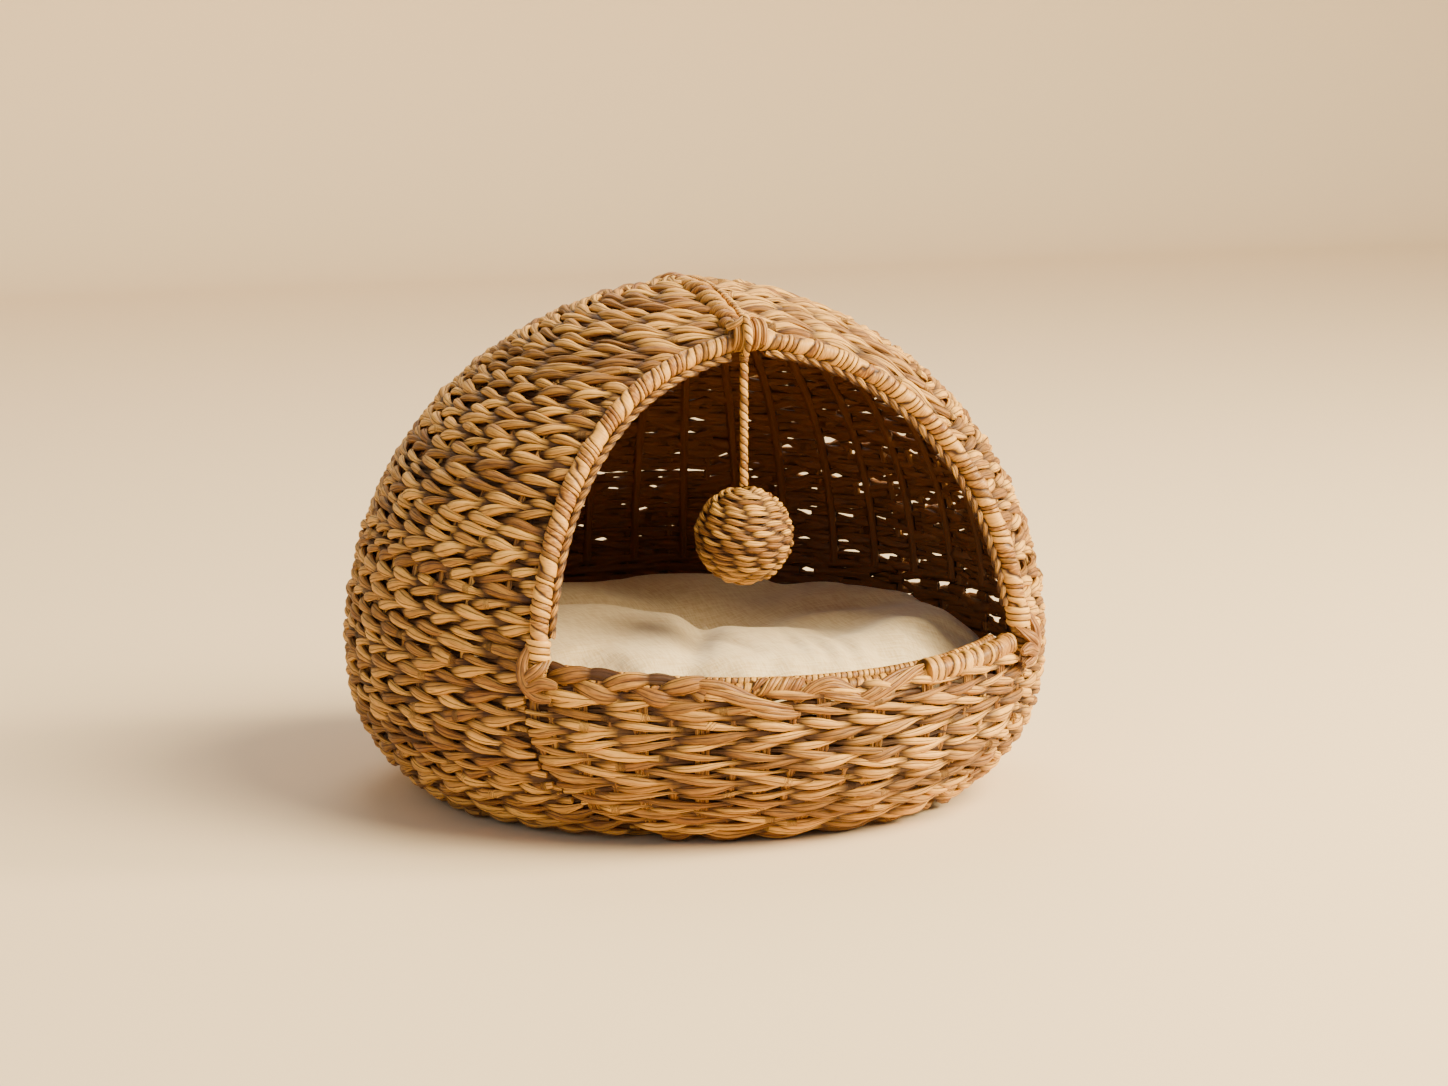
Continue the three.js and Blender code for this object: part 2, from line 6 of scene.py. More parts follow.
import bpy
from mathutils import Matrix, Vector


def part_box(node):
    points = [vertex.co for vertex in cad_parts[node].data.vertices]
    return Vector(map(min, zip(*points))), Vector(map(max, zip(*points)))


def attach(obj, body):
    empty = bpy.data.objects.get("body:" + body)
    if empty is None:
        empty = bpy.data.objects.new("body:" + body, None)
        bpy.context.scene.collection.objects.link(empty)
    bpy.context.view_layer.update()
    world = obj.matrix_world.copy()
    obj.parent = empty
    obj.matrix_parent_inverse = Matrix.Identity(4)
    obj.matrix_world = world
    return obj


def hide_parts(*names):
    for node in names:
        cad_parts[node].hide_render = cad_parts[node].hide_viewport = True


bl_info = {
    "name": "Woven Dome Cat Bed",
    "version": (1, 0, 0),
    "blender": (4, 5, 0),
    "location": "View3D > Sidebar > Cat Bed",
    "description": "Weaves a dome cat bed with its arch, rim, toy ball and cushion",
    "category": "Add Mesh",
}

import math
from functools import partial
import bmesh
import bpy
import numpy as np
from mathutils import Vector

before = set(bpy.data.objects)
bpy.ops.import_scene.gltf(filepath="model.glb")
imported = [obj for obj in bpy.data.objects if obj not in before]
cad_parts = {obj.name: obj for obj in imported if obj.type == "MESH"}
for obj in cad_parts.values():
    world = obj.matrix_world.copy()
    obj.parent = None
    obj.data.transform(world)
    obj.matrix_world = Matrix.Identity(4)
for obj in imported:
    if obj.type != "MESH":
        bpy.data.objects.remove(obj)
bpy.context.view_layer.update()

MM = 0.001

# The dome, as its solids are built.
WIDEST_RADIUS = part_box("shell")[1].x / MM
CROWN_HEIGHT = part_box("shell")[1].z / MM
WIDEST_HEIGHT = 107
FOOT_RADIUS = 188
BELLY_POWER = 2.4
WALL = 12
FIT = 0.3
ROW_PITCH = 15.8
FLOOR_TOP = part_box("base")[1].z / MM

# The mouth and its hoop.
MOUTH_REACH = 172
MOUTH_FOOT = 122
MOUTH_SLOPE = 0.066
MOUTH_BEND = 0.00104
PEAK_RISE = 4
PEAK_SPREAD = 45
HOOP_DEPTH = 4
HOOP_RADIUS = 6
INNER_ROW_RADIUS = 3.4
WRAP_LENGTH = 14
KNOT_RADIUS = 12
KNOT_RISE = 4
KNOT_LENGTH = 28
RIM_RADIUS = 8
RIM_DIP = 7
RIDGE_X = -8
RIDGE_RADIUS = 7.3
RIDGE_END = 62

# Light gaps that the solids have too.
GAP_ROWS = range(9, 20, 2)
GAP_SPACING = 81
GAP_SECTOR = (math.radians(-22), math.radians(202))
# Finer gaps lie in these half rows. They are most on this side, and fade over this turn.
FINE_GAP_LINES = range(8, 54)
WORN_SIDE = 0.35
WORN_TURN = 0.75
# How far from a row a gap still thins it or pushes it aside.
GAP_NEAR = 60

# How the rows run: on the right of the ridge they follow the arch, and drop by
# this many rows before they turn level.
RIDGE_ROWS = 7
ROW_BLEND = 14
# Past this turn from the ridge every row is level.
ARCH_TURN = math.radians(160)
# Where the first row starts, in rows from the crown.
ROW_START = 0.25
CORE_DEPTH = 6
PAIR_GAP = 8.7
CROWN_SWELL = 3.5
CROWN_REACH = 80
STAKE_COUNTS = (56, 48, 40, 33, 27, 21, 17, 12, 8, 5)
LENS_LEAST = 29
# The front wall: its top row's height, and the spacing and crossings of its slimmer strands.
PANEL_TOP = 111
PANEL_PITCH = 6.9
PANEL_LENS = 42.0
# The ribs inside the dome: how many, and from how far down the wall to what height.
RIBS = 39
RIB_TOP = 70
RIB_FOOT = 118
STEPS_PER_LENS = 6.5

TOY_BALL_RADIUS = 34.5
GUIDE_KINDS = {
    "out": "FLOAT_VECTOR", "down": "FLOAT_VECTOR",
    "phase": "FLOAT", "lay": "FLOAT", "bulk": "FLOAT", "tone": "FLOAT",
}


# The wall's outline

# The share of the outline's points that lie above the widest place.
UPPER_SHARE = 0.75


def wall_outline(count=1600):
    """Radius and height of the wall's outer face, from the crown down to the foot."""
    t = np.linspace(0, 1, count)
    turn = np.minimum(t / UPPER_SHARE, 1) * math.pi / 2
    rise = CROWN_HEIGHT - WIDEST_HEIGHT
    low = np.clip((t - UPPER_SHARE) / (1 - UPPER_SHARE), 0, 1)
    full = WIDEST_HEIGHT / (1 - (FOOT_RADIUS / WIDEST_RADIUS) ** BELLY_POWER) ** (1 / BELLY_POWER)
    belly = (1 - (low * WIDEST_HEIGHT / full) ** BELLY_POWER) ** (1 / BELLY_POWER)
    radius = WIDEST_RADIUS * np.where(t < UPPER_SHARE, np.sin(turn), belly)
    upper = WIDEST_HEIGHT + rise * np.cos(turn)
    height = np.where(t < UPPER_SHARE, upper, WIDEST_HEIGHT * (1 - low))
    return radius, height


RADII, HEIGHTS = wall_outline()
RUNS = np.concatenate([[0], np.cumsum(np.hypot(np.diff(RADII), np.diff(HEIGHTS)))])
WALL_LENGTH = RUNS[-1]
FOOT_EDGE = WALL_LENGTH - 3
SLOPE_R, SLOPE_Z = np.gradient(RADII, RUNS), np.gradient(HEIGHTS, RUNS)
ROWS = round(WALL_LENGTH / ROW_PITCH)
PITCH = WALL_LENGTH / ROWS
RIDGE_DROP = RIDGE_ROWS * PITCH


def on_wall(run, heading, depth):
    """Points on the dome's wall with the outward and downhill directions there."""
    slope_r, slope_z = np.interp(run, RUNS, SLOPE_R), np.interp(run, RUNS, SLOPE_Z)
    r = np.interp(run, RUNS, RADII) + depth * slope_z
    z = np.interp(run, RUNS, HEIGHTS) - depth * slope_r
    c, s = np.cos(heading), np.sin(heading)
    point = np.stack([r * c, r * s, z], axis=-1)
    out = np.stack([-slope_z * c, -slope_z * s, slope_r + 0 * c], axis=-1)
    down = np.stack([slope_r * c, slope_r * s, slope_z + 0 * c], axis=-1)
    return point, out, down


def on_dome(run, heading, depth):
    """The same, with the crown's rows drawn a little outwards under the ridge."""
    return on_wall(run, heading, depth - CROWN_SWELL * np.exp(-((run / CROWN_REACH) ** 2)))


def radius_at(z, depth):
    """Radius of the face that lies at a depth inside the wall, at a true height."""
    r, h = RADII + depth * SLOPE_Z, HEIGHTS - depth * SLOPE_R
    return np.interp(z, h[::-1], r[::-1])


def mouth_reach(z):
    """How far forward of the middle the mouth's edge lies, at a height."""
    above = np.maximum(z - MOUTH_FOOT, 0)
    return MOUTH_REACH - MOUTH_SLOPE * above - MOUTH_BEND * above * above


# Lines

FORWARD = np.array([0.0, -1.0, 0.0])
SIDEWAYS = np.array([1.0, 0.0, 0.0])
UP = np.array([0.0, 0.0, 1.0])
# Takes the height out of a direction.
LEVEL = np.array([1, 1, 0])


def lengths(points):
    """Distance along a line at each of its points."""
    return np.concatenate([[0], np.cumsum(np.linalg.norm(np.diff(points, axis=0), axis=1))])


def evenly(points, step):
    """The same line with points an even step apart."""
    along = lengths(points)
    even = np.linspace(0, along[-1], max(int(round(along[-1] / step)), 2) + 1)
    return np.stack([np.interp(even, along, points[:, i]) for i in range(3)], axis=-1)


def rounded(points, step=1.0):
    """A smooth line through a few points."""
    points = np.asarray(points, float)
    along = lengths(points)
    slopes = np.gradient(points, along, axis=0)
    even = np.linspace(0, along[-1], max(int(along[-1] / step), 8))
    i = np.clip(np.searchsorted(along, even, side="right") - 1, 0, len(points) - 2)
    gap = (along[i + 1] - along[i])[:, None]
    t = (even - along[i])[:, None] / gap
    ends = (2 * t**3 - 3 * t**2 + 1) * points[i] + (3 * t**2 - 2 * t**3) * points[i + 1]
    return ends + gap * ((t**3 - 2 * t**2 + t) * slopes[i] + (t**3 - t**2) * slopes[i + 1])


def tangents(points):
    """Direction of a line at each of its points."""
    t = np.gradient(points, axis=0)
    return t / np.linalg.norm(t, axis=1)[:, None]


def unit(vectors):
    """The same directions, one long."""
    return vectors / np.maximum(np.linalg.norm(vectors, axis=-1, keepdims=True), 1e-9)


def drift(rng, count, scale, spread=1.0):
    """Smooth random values, one for each of count points, that change over scale points."""
    knots = rng.normal(0, spread, int(count / scale) + 4)
    t = np.arange(count) / scale + rng.random()
    i = t.astype(int)
    f = t - i
    f = f * f * (3 - 2 * f)
    return knots[i] * (1 - f) + knots[i + 1] * f


def fibre_tones(rng, along, shortest=60, longest=260):
    """A shade for each stretch of one bundle of fibre, from -1, dark, to 1, light."""
    joints = np.cumsum(rng.uniform(shortest, longest, int(along[-1] / shortest) + 3))
    shades = np.clip(rng.normal(0, 0.65, len(joints) + 1), -1, 1)
    return shades[np.searchsorted(joints, along + rng.uniform(0, longest))
                  .clip(0, len(joints))]


def strand(points, out, down=None, phase=0.0, lay=1.0, bulk=1.0, tone=0.0):
    """One strand's guide line with what the node trees read at each point."""
    ones = np.ones(len(points))
    across = np.cross(tangents(points), out) if down is None else down
    return {
        "point": points, "out": out + np.zeros_like(points), "down": across,
        "phase": phase * ones, "lay": lay * ones, "bulk": bulk * ones, "tone": tone * ones,
    }


def twined_pair(surface, run, heading, lens, lay, rng, core=CORE_DEPTH, origin=0.0, uneven=1.0,
                tuck=2.5, squeeze=None):
    """Two strands that twist round each other along a row, and cross once for every stake.

    Squeeze says how much a row thins and moves aside at its points.
    """
    along = lengths(surface(run, heading, core)[0])
    count = max(int(along[-1] / (lens / STEPS_PER_LENS)), 6)
    even = np.linspace(0, along[-1], count)
    heading = np.interp(even, along, heading)
    run = np.interp(even, along, run) + uneven * drift(rng, count, 2.3 * STEPS_PER_LENS, 0.85)
    pinch, push = squeeze(run, heading) if squeeze else (0, 0)
    run = run + push
    points, out, down = surface(run, heading, core)
    end = np.exp(-((np.minimum(even, along[-1] - even) / (0.2 * lens)) ** 2))
    points = points - out * (tuck * end)[:, None]
    phase = math.pi * (even - origin) / lens + uneven * drift(rng, count, 2 * STEPS_PER_LENS, 0.4)
    pair = []
    for half in (0, 1):
        size = 1 + uneven * drift(rng, count, 1.4 * STEPS_PER_LENS, 0.18)
        size = size * (1 - 0.3 * end) * (1 - pinch)
        proud = uneven * drift(rng, count, 1.5 * STEPS_PER_LENS, 0.35)
        pair.append(strand(
            points + out * proud[:, None], out, down, phase + math.pi * half, lay, size,
            fibre_tones(rng, even),
        ))
    return pair


def twisted(line, out, lens, lay, rng, count=2):
    """Strands that twist round each other along any line."""
    along = lengths(line)
    across = np.cross(tangents(line), out)
    return [strand(line, out, across, math.pi * along / lens + 2 * math.pi * i / count, lay,
                   1 + drift(rng, len(line), 6, 0.1), fibre_tones(rng, along))
            for i in range(count)]


def guide_object(name, strands):
    """One mesh of edges from strands' guide lines, with their values as attributes."""
    joined = {key: np.concatenate([s[key] for s in strands]) for key in strands[0]}
    stops = np.cumsum([len(s["point"]) for s in strands])
    ahead = np.arange(stops[-1] - 1)
    edges = np.column_stack([ahead, ahead + 1])[~np.isin(ahead + 1, stops)]
    mesh = bpy.data.meshes.new(name)
    mesh.vertices.add(len(joined["point"]))
    mesh.vertices.foreach_set("co", (joined["point"] * MM).astype(np.float32).ravel())
    mesh.edges.add(len(edges))
    mesh.edges.foreach_set("vertices", edges.astype(np.int32).ravel())
    for key, kind in GUIDE_KINDS.items():
        attribute = mesh.attributes.new(key, kind, "POINT")
        field = "vector" if kind == "FLOAT_VECTOR" else "value"
        attribute.data.foreach_set(field, joined[key].astype(np.float32).ravel())
    return new_object(name, mesh)


def new_object(name, data):
    """Puts a new object in the scene."""
    piece = bpy.data.objects.new(name, data)
    bpy.context.scene.collection.objects.link(piece)
    return piece


# Nodes

NODES = {
    # kind: Blender's type, settings, the inputs that a call fills in order, the output
    "tree input": ("NodeGroupInput", {}, (), None),
    "tree output": ("NodeGroupOutput", {}, (0,), None),
    "curve": ("GeometryNodeMeshToCurve", {}, ("Mesh",), 0),
    "even curve": ("GeometryNodeResampleCurve", {"mode": "LENGTH"}, ("Curve", "Length"), 0),
    "faced curve": ("GeometryNodeSetCurveNormal", {"mode": "FREE"}, ("Curve", "Normal"), 0),
    "swept": ("GeometryNodeCurveToMesh", {},
              ("Curve", "Profile Curve", "Scale", "Fill Caps"), 0),
    "circle": ("GeometryNodeCurvePrimitiveCircle", {"mode": "RADIUS"},
               ("Resolution", "Radius"), 0),
    "moved": ("GeometryNodeSetPosition", {}, ("Geometry", "Offset"), 0),
    "stretched": ("GeometryNodeTransform", {}, ("Geometry", "Scale"), 0),
    "smooth": ("GeometryNodeSetShadeSmooth", {}, ("Geometry",), 0),
    "real": ("GeometryNodeRealizeInstances", {}, ("Geometry",), 0),
    "coated": ("GeometryNodeSetMaterial", {}, ("Geometry", "Material"), 0),
    "stored": ("GeometryNodeStoreNamedAttribute", {"data_type": "FLOAT", "domain": "POINT"},
               ("Geometry", "Name", "Value"), 0),
    "stored number": ("GeometryNodeInputNamedAttribute", {"data_type": "FLOAT"}, ("Name",), 0),
    "stored arrow": ("GeometryNodeInputNamedAttribute", {"data_type": "FLOAT_VECTOR"},
                     ("Name",), 0),
    "position": ("GeometryNodeInputPosition", {}, (), 0),
    "normal": ("GeometryNodeInputNormal", {}, (), 0),
    "spline": ("GeometryNodeSplineParameter", {}, (), None),
    "scaled": ("ShaderNodeVectorMath", {"operation": "SCALE"}, (0, "Scale"), 0),
    "summed": ("ShaderNodeVectorMath", {"operation": "ADD"}, (0, 1), 0),
    "split": ("ShaderNodeSeparateXYZ", {}, (0,), None),
    "joined": ("ShaderNodeCombineXYZ", {}, (0, 1, 2), 0),
    "random": ("ShaderNodeTexWhiteNoise", {"noise_dimensions": "1D"}, ("W",), 0),
    "noise": ("ShaderNodeTexNoise", {}, ("Vector", "Scale", "Detail", "Roughness"), 0),
    "line noise": ("ShaderNodeTexNoise", {"noise_dimensions": "1D"}, ("W", "Scale", "Detail"), 0),
    "seeded noise": ("ShaderNodeTexNoise", {"noise_dimensions": "4D"},
                     ("Vector", "W", "Scale", "Detail", "Roughness"), 0),
    "range": ("ShaderNodeMapRange", {}, (0, 1, 2, 3, 4), 0),
    "mix": ("ShaderNodeMix", {"data_type": "RGBA"}, (0, 6, 7), 2),
    "place": ("ShaderNodeTexCoord", {}, (), "Object"),
    "fitted": ("ShaderNodeMapping", {}, ("Vector", "Scale"), 0),
    "read number": ("ShaderNodeAttribute", {}, (), "Fac"),
    "read arrow": ("ShaderNodeAttribute", {}, (), "Vector"),
    "bump": ("ShaderNodeBump", {}, ("Strength", "Distance", "Height"), 0),
    "surface": ("ShaderNodeBsdfPrincipled", {},
                ("Base Color", "Roughness", "Specular IOR Level", "Normal", "Sheen Weight",
                 "Sheen Roughness"), 0),
    "material output": ("ShaderNodeOutputMaterial", {}, ("Surface",), None),
}
for operation in ("ADD", "SUBTRACT", "MULTIPLY", "DIVIDE", "MULTIPLY_ADD", "POWER", "ABSOLUTE",
                  "SINE", "COSINE", "ARCTAN2", "FLOOR", "PINGPONG"):
    NODES[operation] = ("ShaderNodeMath", {"operation": operation}, (0, 1, 2), 0)


def add_node(tree, kind, *values, **settings):
    """Adds a node with its settings, fills its inputs with values or links, gives its output."""
    blender_type, fixed, inputs, output = NODES[kind]
    node = tree.nodes.new(blender_type)
    for name, value in {**fixed, **settings}.items():
        setattr(node, name, value)
    for key, value in zip(inputs, values):
        if isinstance(value, bpy.types.NodeSocket):
            tree.links.new(value, node.inputs[key])
        else:
            node.inputs[key].default_value = value
    return node.outputs if output is None else node.outputs[output]


# Node trees of the strands and rods

STRAND_SIZES = {
    # input: unit, default
    "Strand Height": (MM, 4.0), "Strand Depth": (MM, 3.0), "Sides": (1, 8), "Pinch": (1.0, 1.0),
    "Twist Depth": (MM, 0.0), "Twist Height": (MM, 0.0), "Head": (1.0, 0.0),
}
ROD_SIZES = {
    # input: unit, default
    "Radius": (MM, 6.0), "Band Pitch": (MM, 5.3), "Band Height": (MM, 0.6), "Step": (MM, 1.0),
    "Sides": (1, 12), "Starts": (1, 1), "Seed": (1.0, 0.0), "Wander": (1.0, 0.0),
}
# How a strand fills out over a stake, and how round a turn of leaf is.
STRAND_FULLNESS = 0.65
BAND_FULLNESS = 0.42
# How far along a rod its turns keep the same lean.
SWAY_LENGTH = 16 * MM


def new_tree(name, sizes):
    """A geometry node tree that takes guide lines, named sizes and a material."""
    tree = bpy.data.node_groups.new(name, "GeometryNodeTree")
    add_socket = tree.interface.new_socket
    add_socket("Geometry", in_out="OUTPUT", socket_type="NodeSocketGeometry")
    add_socket("Guides", in_out="INPUT", socket_type="NodeSocketGeometry")
    for label, (unit, default) in sizes.items():
        kind = "NodeSocketInt" if isinstance(unit, int) else "NodeSocketFloat"
        add_socket(label, in_out="INPUT", socket_type=kind).default_value = unit * default
    add_socket("Material", in_out="INPUT", socket_type="NodeSocketMaterial")
    add = partial(add_node, tree)
    return tree, add, add("tree input")


def close_tree(add, mesh, material):
    """Ends a tree with plain faces in their material."""
    add("tree output", add("coated", add("real", add("smooth", mesh)), material))


def section(add, sides, height, depth):
    """A strand's cross-section, with the direction from its middle kept for the material."""
    circle = add("circle", sides, 1.0)
    circle = add("stored", circle, "round", add("position"), data_type="FLOAT_VECTOR")
    circle = add("stored", circle, "turn", add("spline")["Factor"])
    return add("stretched", circle, add("joined", depth, height, 1.0))


def strand_tree(name):
    """Strands swept along guide lines. They twist round a row's middle by their phase, and
    are thickest where they pass outside or inside a stake, Head radians before its middle."""
    tree, add, given = new_tree(name, STRAND_SIZES)
    phase, out = add("stored number", "phase"), add("stored arrow", "out")
    swing = add("COSINE", phase)
    outward = add("scaled", out, add("MULTIPLY", swing, given["Twist Depth"]))
    climb = add("MULTIPLY", add("SINE", phase), add("stored number", "lay"))
    climb = add("MULTIPLY", climb, given["Twist Height"])
    aside = add("scaled", add("stored arrow", "down"), climb)
    curve = add("moved", add("curve", given["Guides"]), add("summed", outward, aside))
    # deep runs from 0 in front of the row's middle to 1 behind it; the fibre material paints shade
    # by it
    curve = add("stored", curve, "deep", add("MULTIPLY_ADD", swing, -0.5, 0.5))
    curve = add("stored", curve, "along", add("spline")["Length"])
    curve = add("faced curve", curve, out)
    fore = add("ABSOLUTE", add("COSINE", add("ADD", phase, given["Head"])))
    full = add("POWER", fore, STRAND_FULLNESS)
    slim = add("SUBTRACT", 1.0, given["Pinch"])
    size = add("MULTIPLY_ADD", full, slim, given["Pinch"])
    size = add("MULTIPLY", size, add("stored number", "bulk"))
    profile = section(add, given["Sides"], given["Strand Height"], given["Strand Depth"])
    close_tree(add, add("swept", curve, profile, size, True), given["Material"])
    return tree


def rod_tree(name):
    """A rod wound with one or more strands, whose bands stand proud between grooves."""
    tree, add, given = new_tree(name, ROD_SIZES)
    run = add("spline")["Length"]
    curve = add("even curve", add("curve", given["Guides"]), given["Step"])
    curve = add("stored", curve, "along", run)
    sway = add("line noise", add("MULTIPLY_ADD", run, 1 / SWAY_LENGTH, given["Seed"]), 1.0, 1.0)
    bands = add("ADD", add("DIVIDE", run, given["Band Pitch"]), given["Seed"])
    curve = add("stored", curve, "bands", add("MULTIPLY_ADD", sway, given["Wander"], bands))
    curve = add("stored", curve, "starts", given["Starts"])
    curve = add("faced curve", curve, add("stored arrow", "out"))
    profile = section(add, given["Sides"], given["Radius"], given["Radius"])
    rod = add("swept", curve, profile, add("stored number", "bulk"), True)
    bands = add("MULTIPLY_ADD", add("stored number", "turn"), given["Starts"],
                add("stored number", "bands"))
    wave = add("ABSOLUTE", add("SINE", add("MULTIPLY", bands, math.pi)))
    height = add("MULTIPLY", add("POWER", wave, BAND_FULLNESS), given["Band Height"])
    uneven = add("MULTIPLY_ADD", add("random", add("FLOOR", bands)), 0.7, 0.65)
    lift = add("scaled", add("normal"), add("MULTIPLY", height, uneven))
    close_tree(add, add("moved", rod, lift), given["Material"])
    return tree


def plain_mesh(piece):
    """Makes a piece's modifiers real and takes them off."""
    graph = bpy.context.evaluated_depsgraph_get()
    mesh = bpy.data.meshes.new_from_object(
        piece.evaluated_get(graph), preserve_all_data_layers=True, depsgraph=graph)
    piece.modifiers.clear()
    spare = piece.data
    piece.data = mesh
    bpy.data.meshes.remove(spare)
    return mesh


def declare(piece, body, slot, *replaced):
    """Hangs a piece on its body's empty and hides the solids it replaces. The slot is not used."""
    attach(piece, body)
    if replaced:
        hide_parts(*replaced)


# Materials

# Spreads the strands' own shades over the noise, so that no two look alike.
SEED_STEP = 37.0


def colour(text):
    """An sRGB hex colour as the linear colour that a socket takes."""
    channels = [int(text[i:i + 2], 16) / 255 for i in (1, 3, 5)]
    return [c / 12.92 if c <= 0.04045 else ((c + 0.055) / 1.055) ** 2.4 for c in channels] + [1.0]


def new_material(name):
    """An empty material, and the call that adds nodes to it."""
    material = bpy.data.materials.new(name)
    material.use_nodes = True
    material.node_tree.nodes.clear()
    return material, partial(add_node, material.node_tree)


def plain_material(name, tint, roughness, specular):
    """A material of one colour."""
    material, add = new_material(name)
    add("material output", add("surface", colour(tint), roughness, specular))
    return material


def layered(add, base, layers):
    """Lays colours over one another, each as far as its value lies between two bounds."""
    for value, low, high, cover_low, cover_high, tint in layers:
        cover = add("range", value, low, high, cover_low, cover_high)
        base = add("mix", cover, base, colour(tint))
    return base


def fibre_streaks(add, stretch, across, seed):
    """Noise drawn out along a strand: stretch is how long a streak is in mm, across how many
    streaks lie side by side round the strand."""
    along = add("MULTIPLY", add("read number", attribute_name="along"), 1 / (stretch * MM))
    own_seed = add("MULTIPLY_ADD", add("read number", attribute_name="tone"), SEED_STEP, seed)
    ring = add("split", add("scaled", add("read arrow", attribute_name="round"), across / 5))
    return add("seeded noise", add("joined", ring[0], ring[1], along), own_seed, 1.0, 2.0, 0.6)


def leaf_plies(add, plies, lay, wander):
    """Leaf strips that lie side by side in a bundle and turn slowly round it: how far a point
    is from the crease beside its strip, from 0 to 1, and a random number for the strip."""
    parts = add("split", add("read arrow", attribute_name="round"))
    run = add("read number", attribute_name="along")
    seed = add("MULTIPLY_ADD", add("read number", attribute_name="tone"), SEED_STEP, 3.0)
    slow = add("joined", add("MULTIPLY", run, 1 / (35 * MM)))
    sway = add("seeded noise", slow, seed, 1.0, 1.0)
    strip = add("MULTIPLY_ADD", add("ARCTAN2", parts[1], parts[0]), plies / (2 * math.pi), seed)
    strip = add("MULTIPLY_ADD", run, 1 / (lay * MM), strip)
    strip = add("MULTIPLY_ADD", sway, wander, strip)
    crest = add("MULTIPLY", add("PINGPONG", strip, 0.5), 2.0)
    return crest, add("random", add("FLOOR", strip))


def fibre_material(name, look, roughness, groove, inside=0.0, streaks=(26, 9), plies=5,
                   darker=0.0):
    """Dried leaf fibre: strips side by side, broad streaks of colour along each bundle, fine
    lengthwise grooves and grey-brown patches. Shade is painted into the grooves, along the
    creases between strips, where a strand dives behind its neighbour, and on the side that
    faces the cavity."""
    _, add = new_material(name)
    stretch, across = streaks
    broad = fibre_streaks(add, stretch, across, 1.0)
    fine = fibre_streaks(add, 9, 3.2 * across, 5.0)
    crest, own = leaf_plies(add, plies, 130, 1.3)
    tone = add("range", add("read number", attribute_name="tone"), -1.0, 1.0)
    patch = add("noise", add("place"), 1 / (85 * MM), 2.0, 0.55)
    light = add("MULTIPLY_ADD", own, 0.3, add("MULTIPLY_ADD", tone, 0.8, broad))
    weathered = add("MULTIPLY_ADD", tone, -0.5, patch)
    deep = add("read number", attribute_name="deep")
    side = add("split", add("read arrow", attribute_name="round"))[0]
    base = layered(add, colour(look.shade), (
        # value, its bounds, how much is covered at each, colour
        (light, 0.74 + darker, 1.38 + darker, 0.0, 1.0, look.light),
        (weathered, 0.26, 0.52, 0.0, look.greying, look.aged),
        (fine, 0.45, 0.75, 0.0, 0.5, look.gold),
        # painted shade: crease colour in the low parts of the fine grooves
        (fine, 0.25, 0.48, 0.7, 0.0, look.crease),
        # painted shade: crease colour along the creases between leaf strips
        (crest, 0.0, 0.28, 0.95, 0.0, look.crease),
        # painted shade: crease colour where a strand dives behind its neighbour
        (deep, 0.19, 0.58, 0.0, 0.94, look.crease),
        # painted shade: the inside colour on the side of a strand that faces the cavity
        (side, -0.3, 0.2, inside, 0.0, look.inside),
    ))
    gloss = add("range", fine, 0.2, 0.8, roughness + 0.12, roughness - 0.08)
    relief = add("MULTIPLY_ADD", broad, 1.2, fine)
    relief = add("MULTIPLY_ADD", add("POWER", crest, 0.5), 1.5, relief)
    bump = add("bump", 0.9, groove * MM, relief)
    add("material output", add("surface", base, gloss, 0.35, bump))


def wound_material(name, look, roughness, groove, lightness):
    """Leaf strip wound round a rod: each band has its own shade of colour, with shade painted
    into the groove beside it, and fine lines round it."""
    _, add = new_material(name)
    parts = add("split", add("read arrow", attribute_name="round"))
    turn = add("DIVIDE", add("ARCTAN2", parts[1], parts[0]), 2 * math.pi)
    bands = add("MULTIPLY_ADD", turn, add("read number", attribute_name="starts"),
                add("read number", attribute_name="bands"))
    crest = add("ABSOLUTE", add("SINE", add("MULTIPLY", bands, math.pi)))
    own = add("random", add("FLOOR", bands))
    # The leaf's own lines, 1.1 mm apart.
    along = add("DIVIDE", add("read number", attribute_name="along"), 1.1 * MM)
    lines = add("noise", add("joined", parts[0], parts[1], along), 1.0, 1.5)
    light = add("MULTIPLY_ADD", own, 0.7, lines)
    base = layered(add, colour(look.shade), (
        # value, its bounds, how much is covered at each, colour
        (light, 1.0 - lightness, 1.7 - lightness, 0.0, 1.0, look.light),
        (lines, 0.45, 0.7, 0.0, 0.55, look.gold),
        (own, 0.06, 0.14, look.greying, 0.0, look.aged),
        # painted shade: crease colour in the groove between two bands
        (crest, 0.12, 0.5, 0.97, 0.0, look.crease),
    ))
    gloss = add("range", lines, 0.3, 0.7, roughness + 0.08, roughness - 0.06)
    relief = add("MULTIPLY_ADD", add("range", crest, 0.0, 0.6), 3.0, lines)
    add("material output", add("surface", base, gloss, 0.3, add("bump", 0.7, groove * MM, relief)))


# Settings that a user would change

def length_setting(label, text, value):
    """A length in the sidebar, given in millimetres."""
    return bpy.props.FloatProperty(name=label, description=text, default=value * MM,
                                   min=0.0, unit="LENGTH", subtype="DISTANCE")


def colour_setting(label, text, value):
    """A colour in the sidebar, as sRGB hex."""
    return bpy.props.StringProperty(name=label, description=text, default=value)


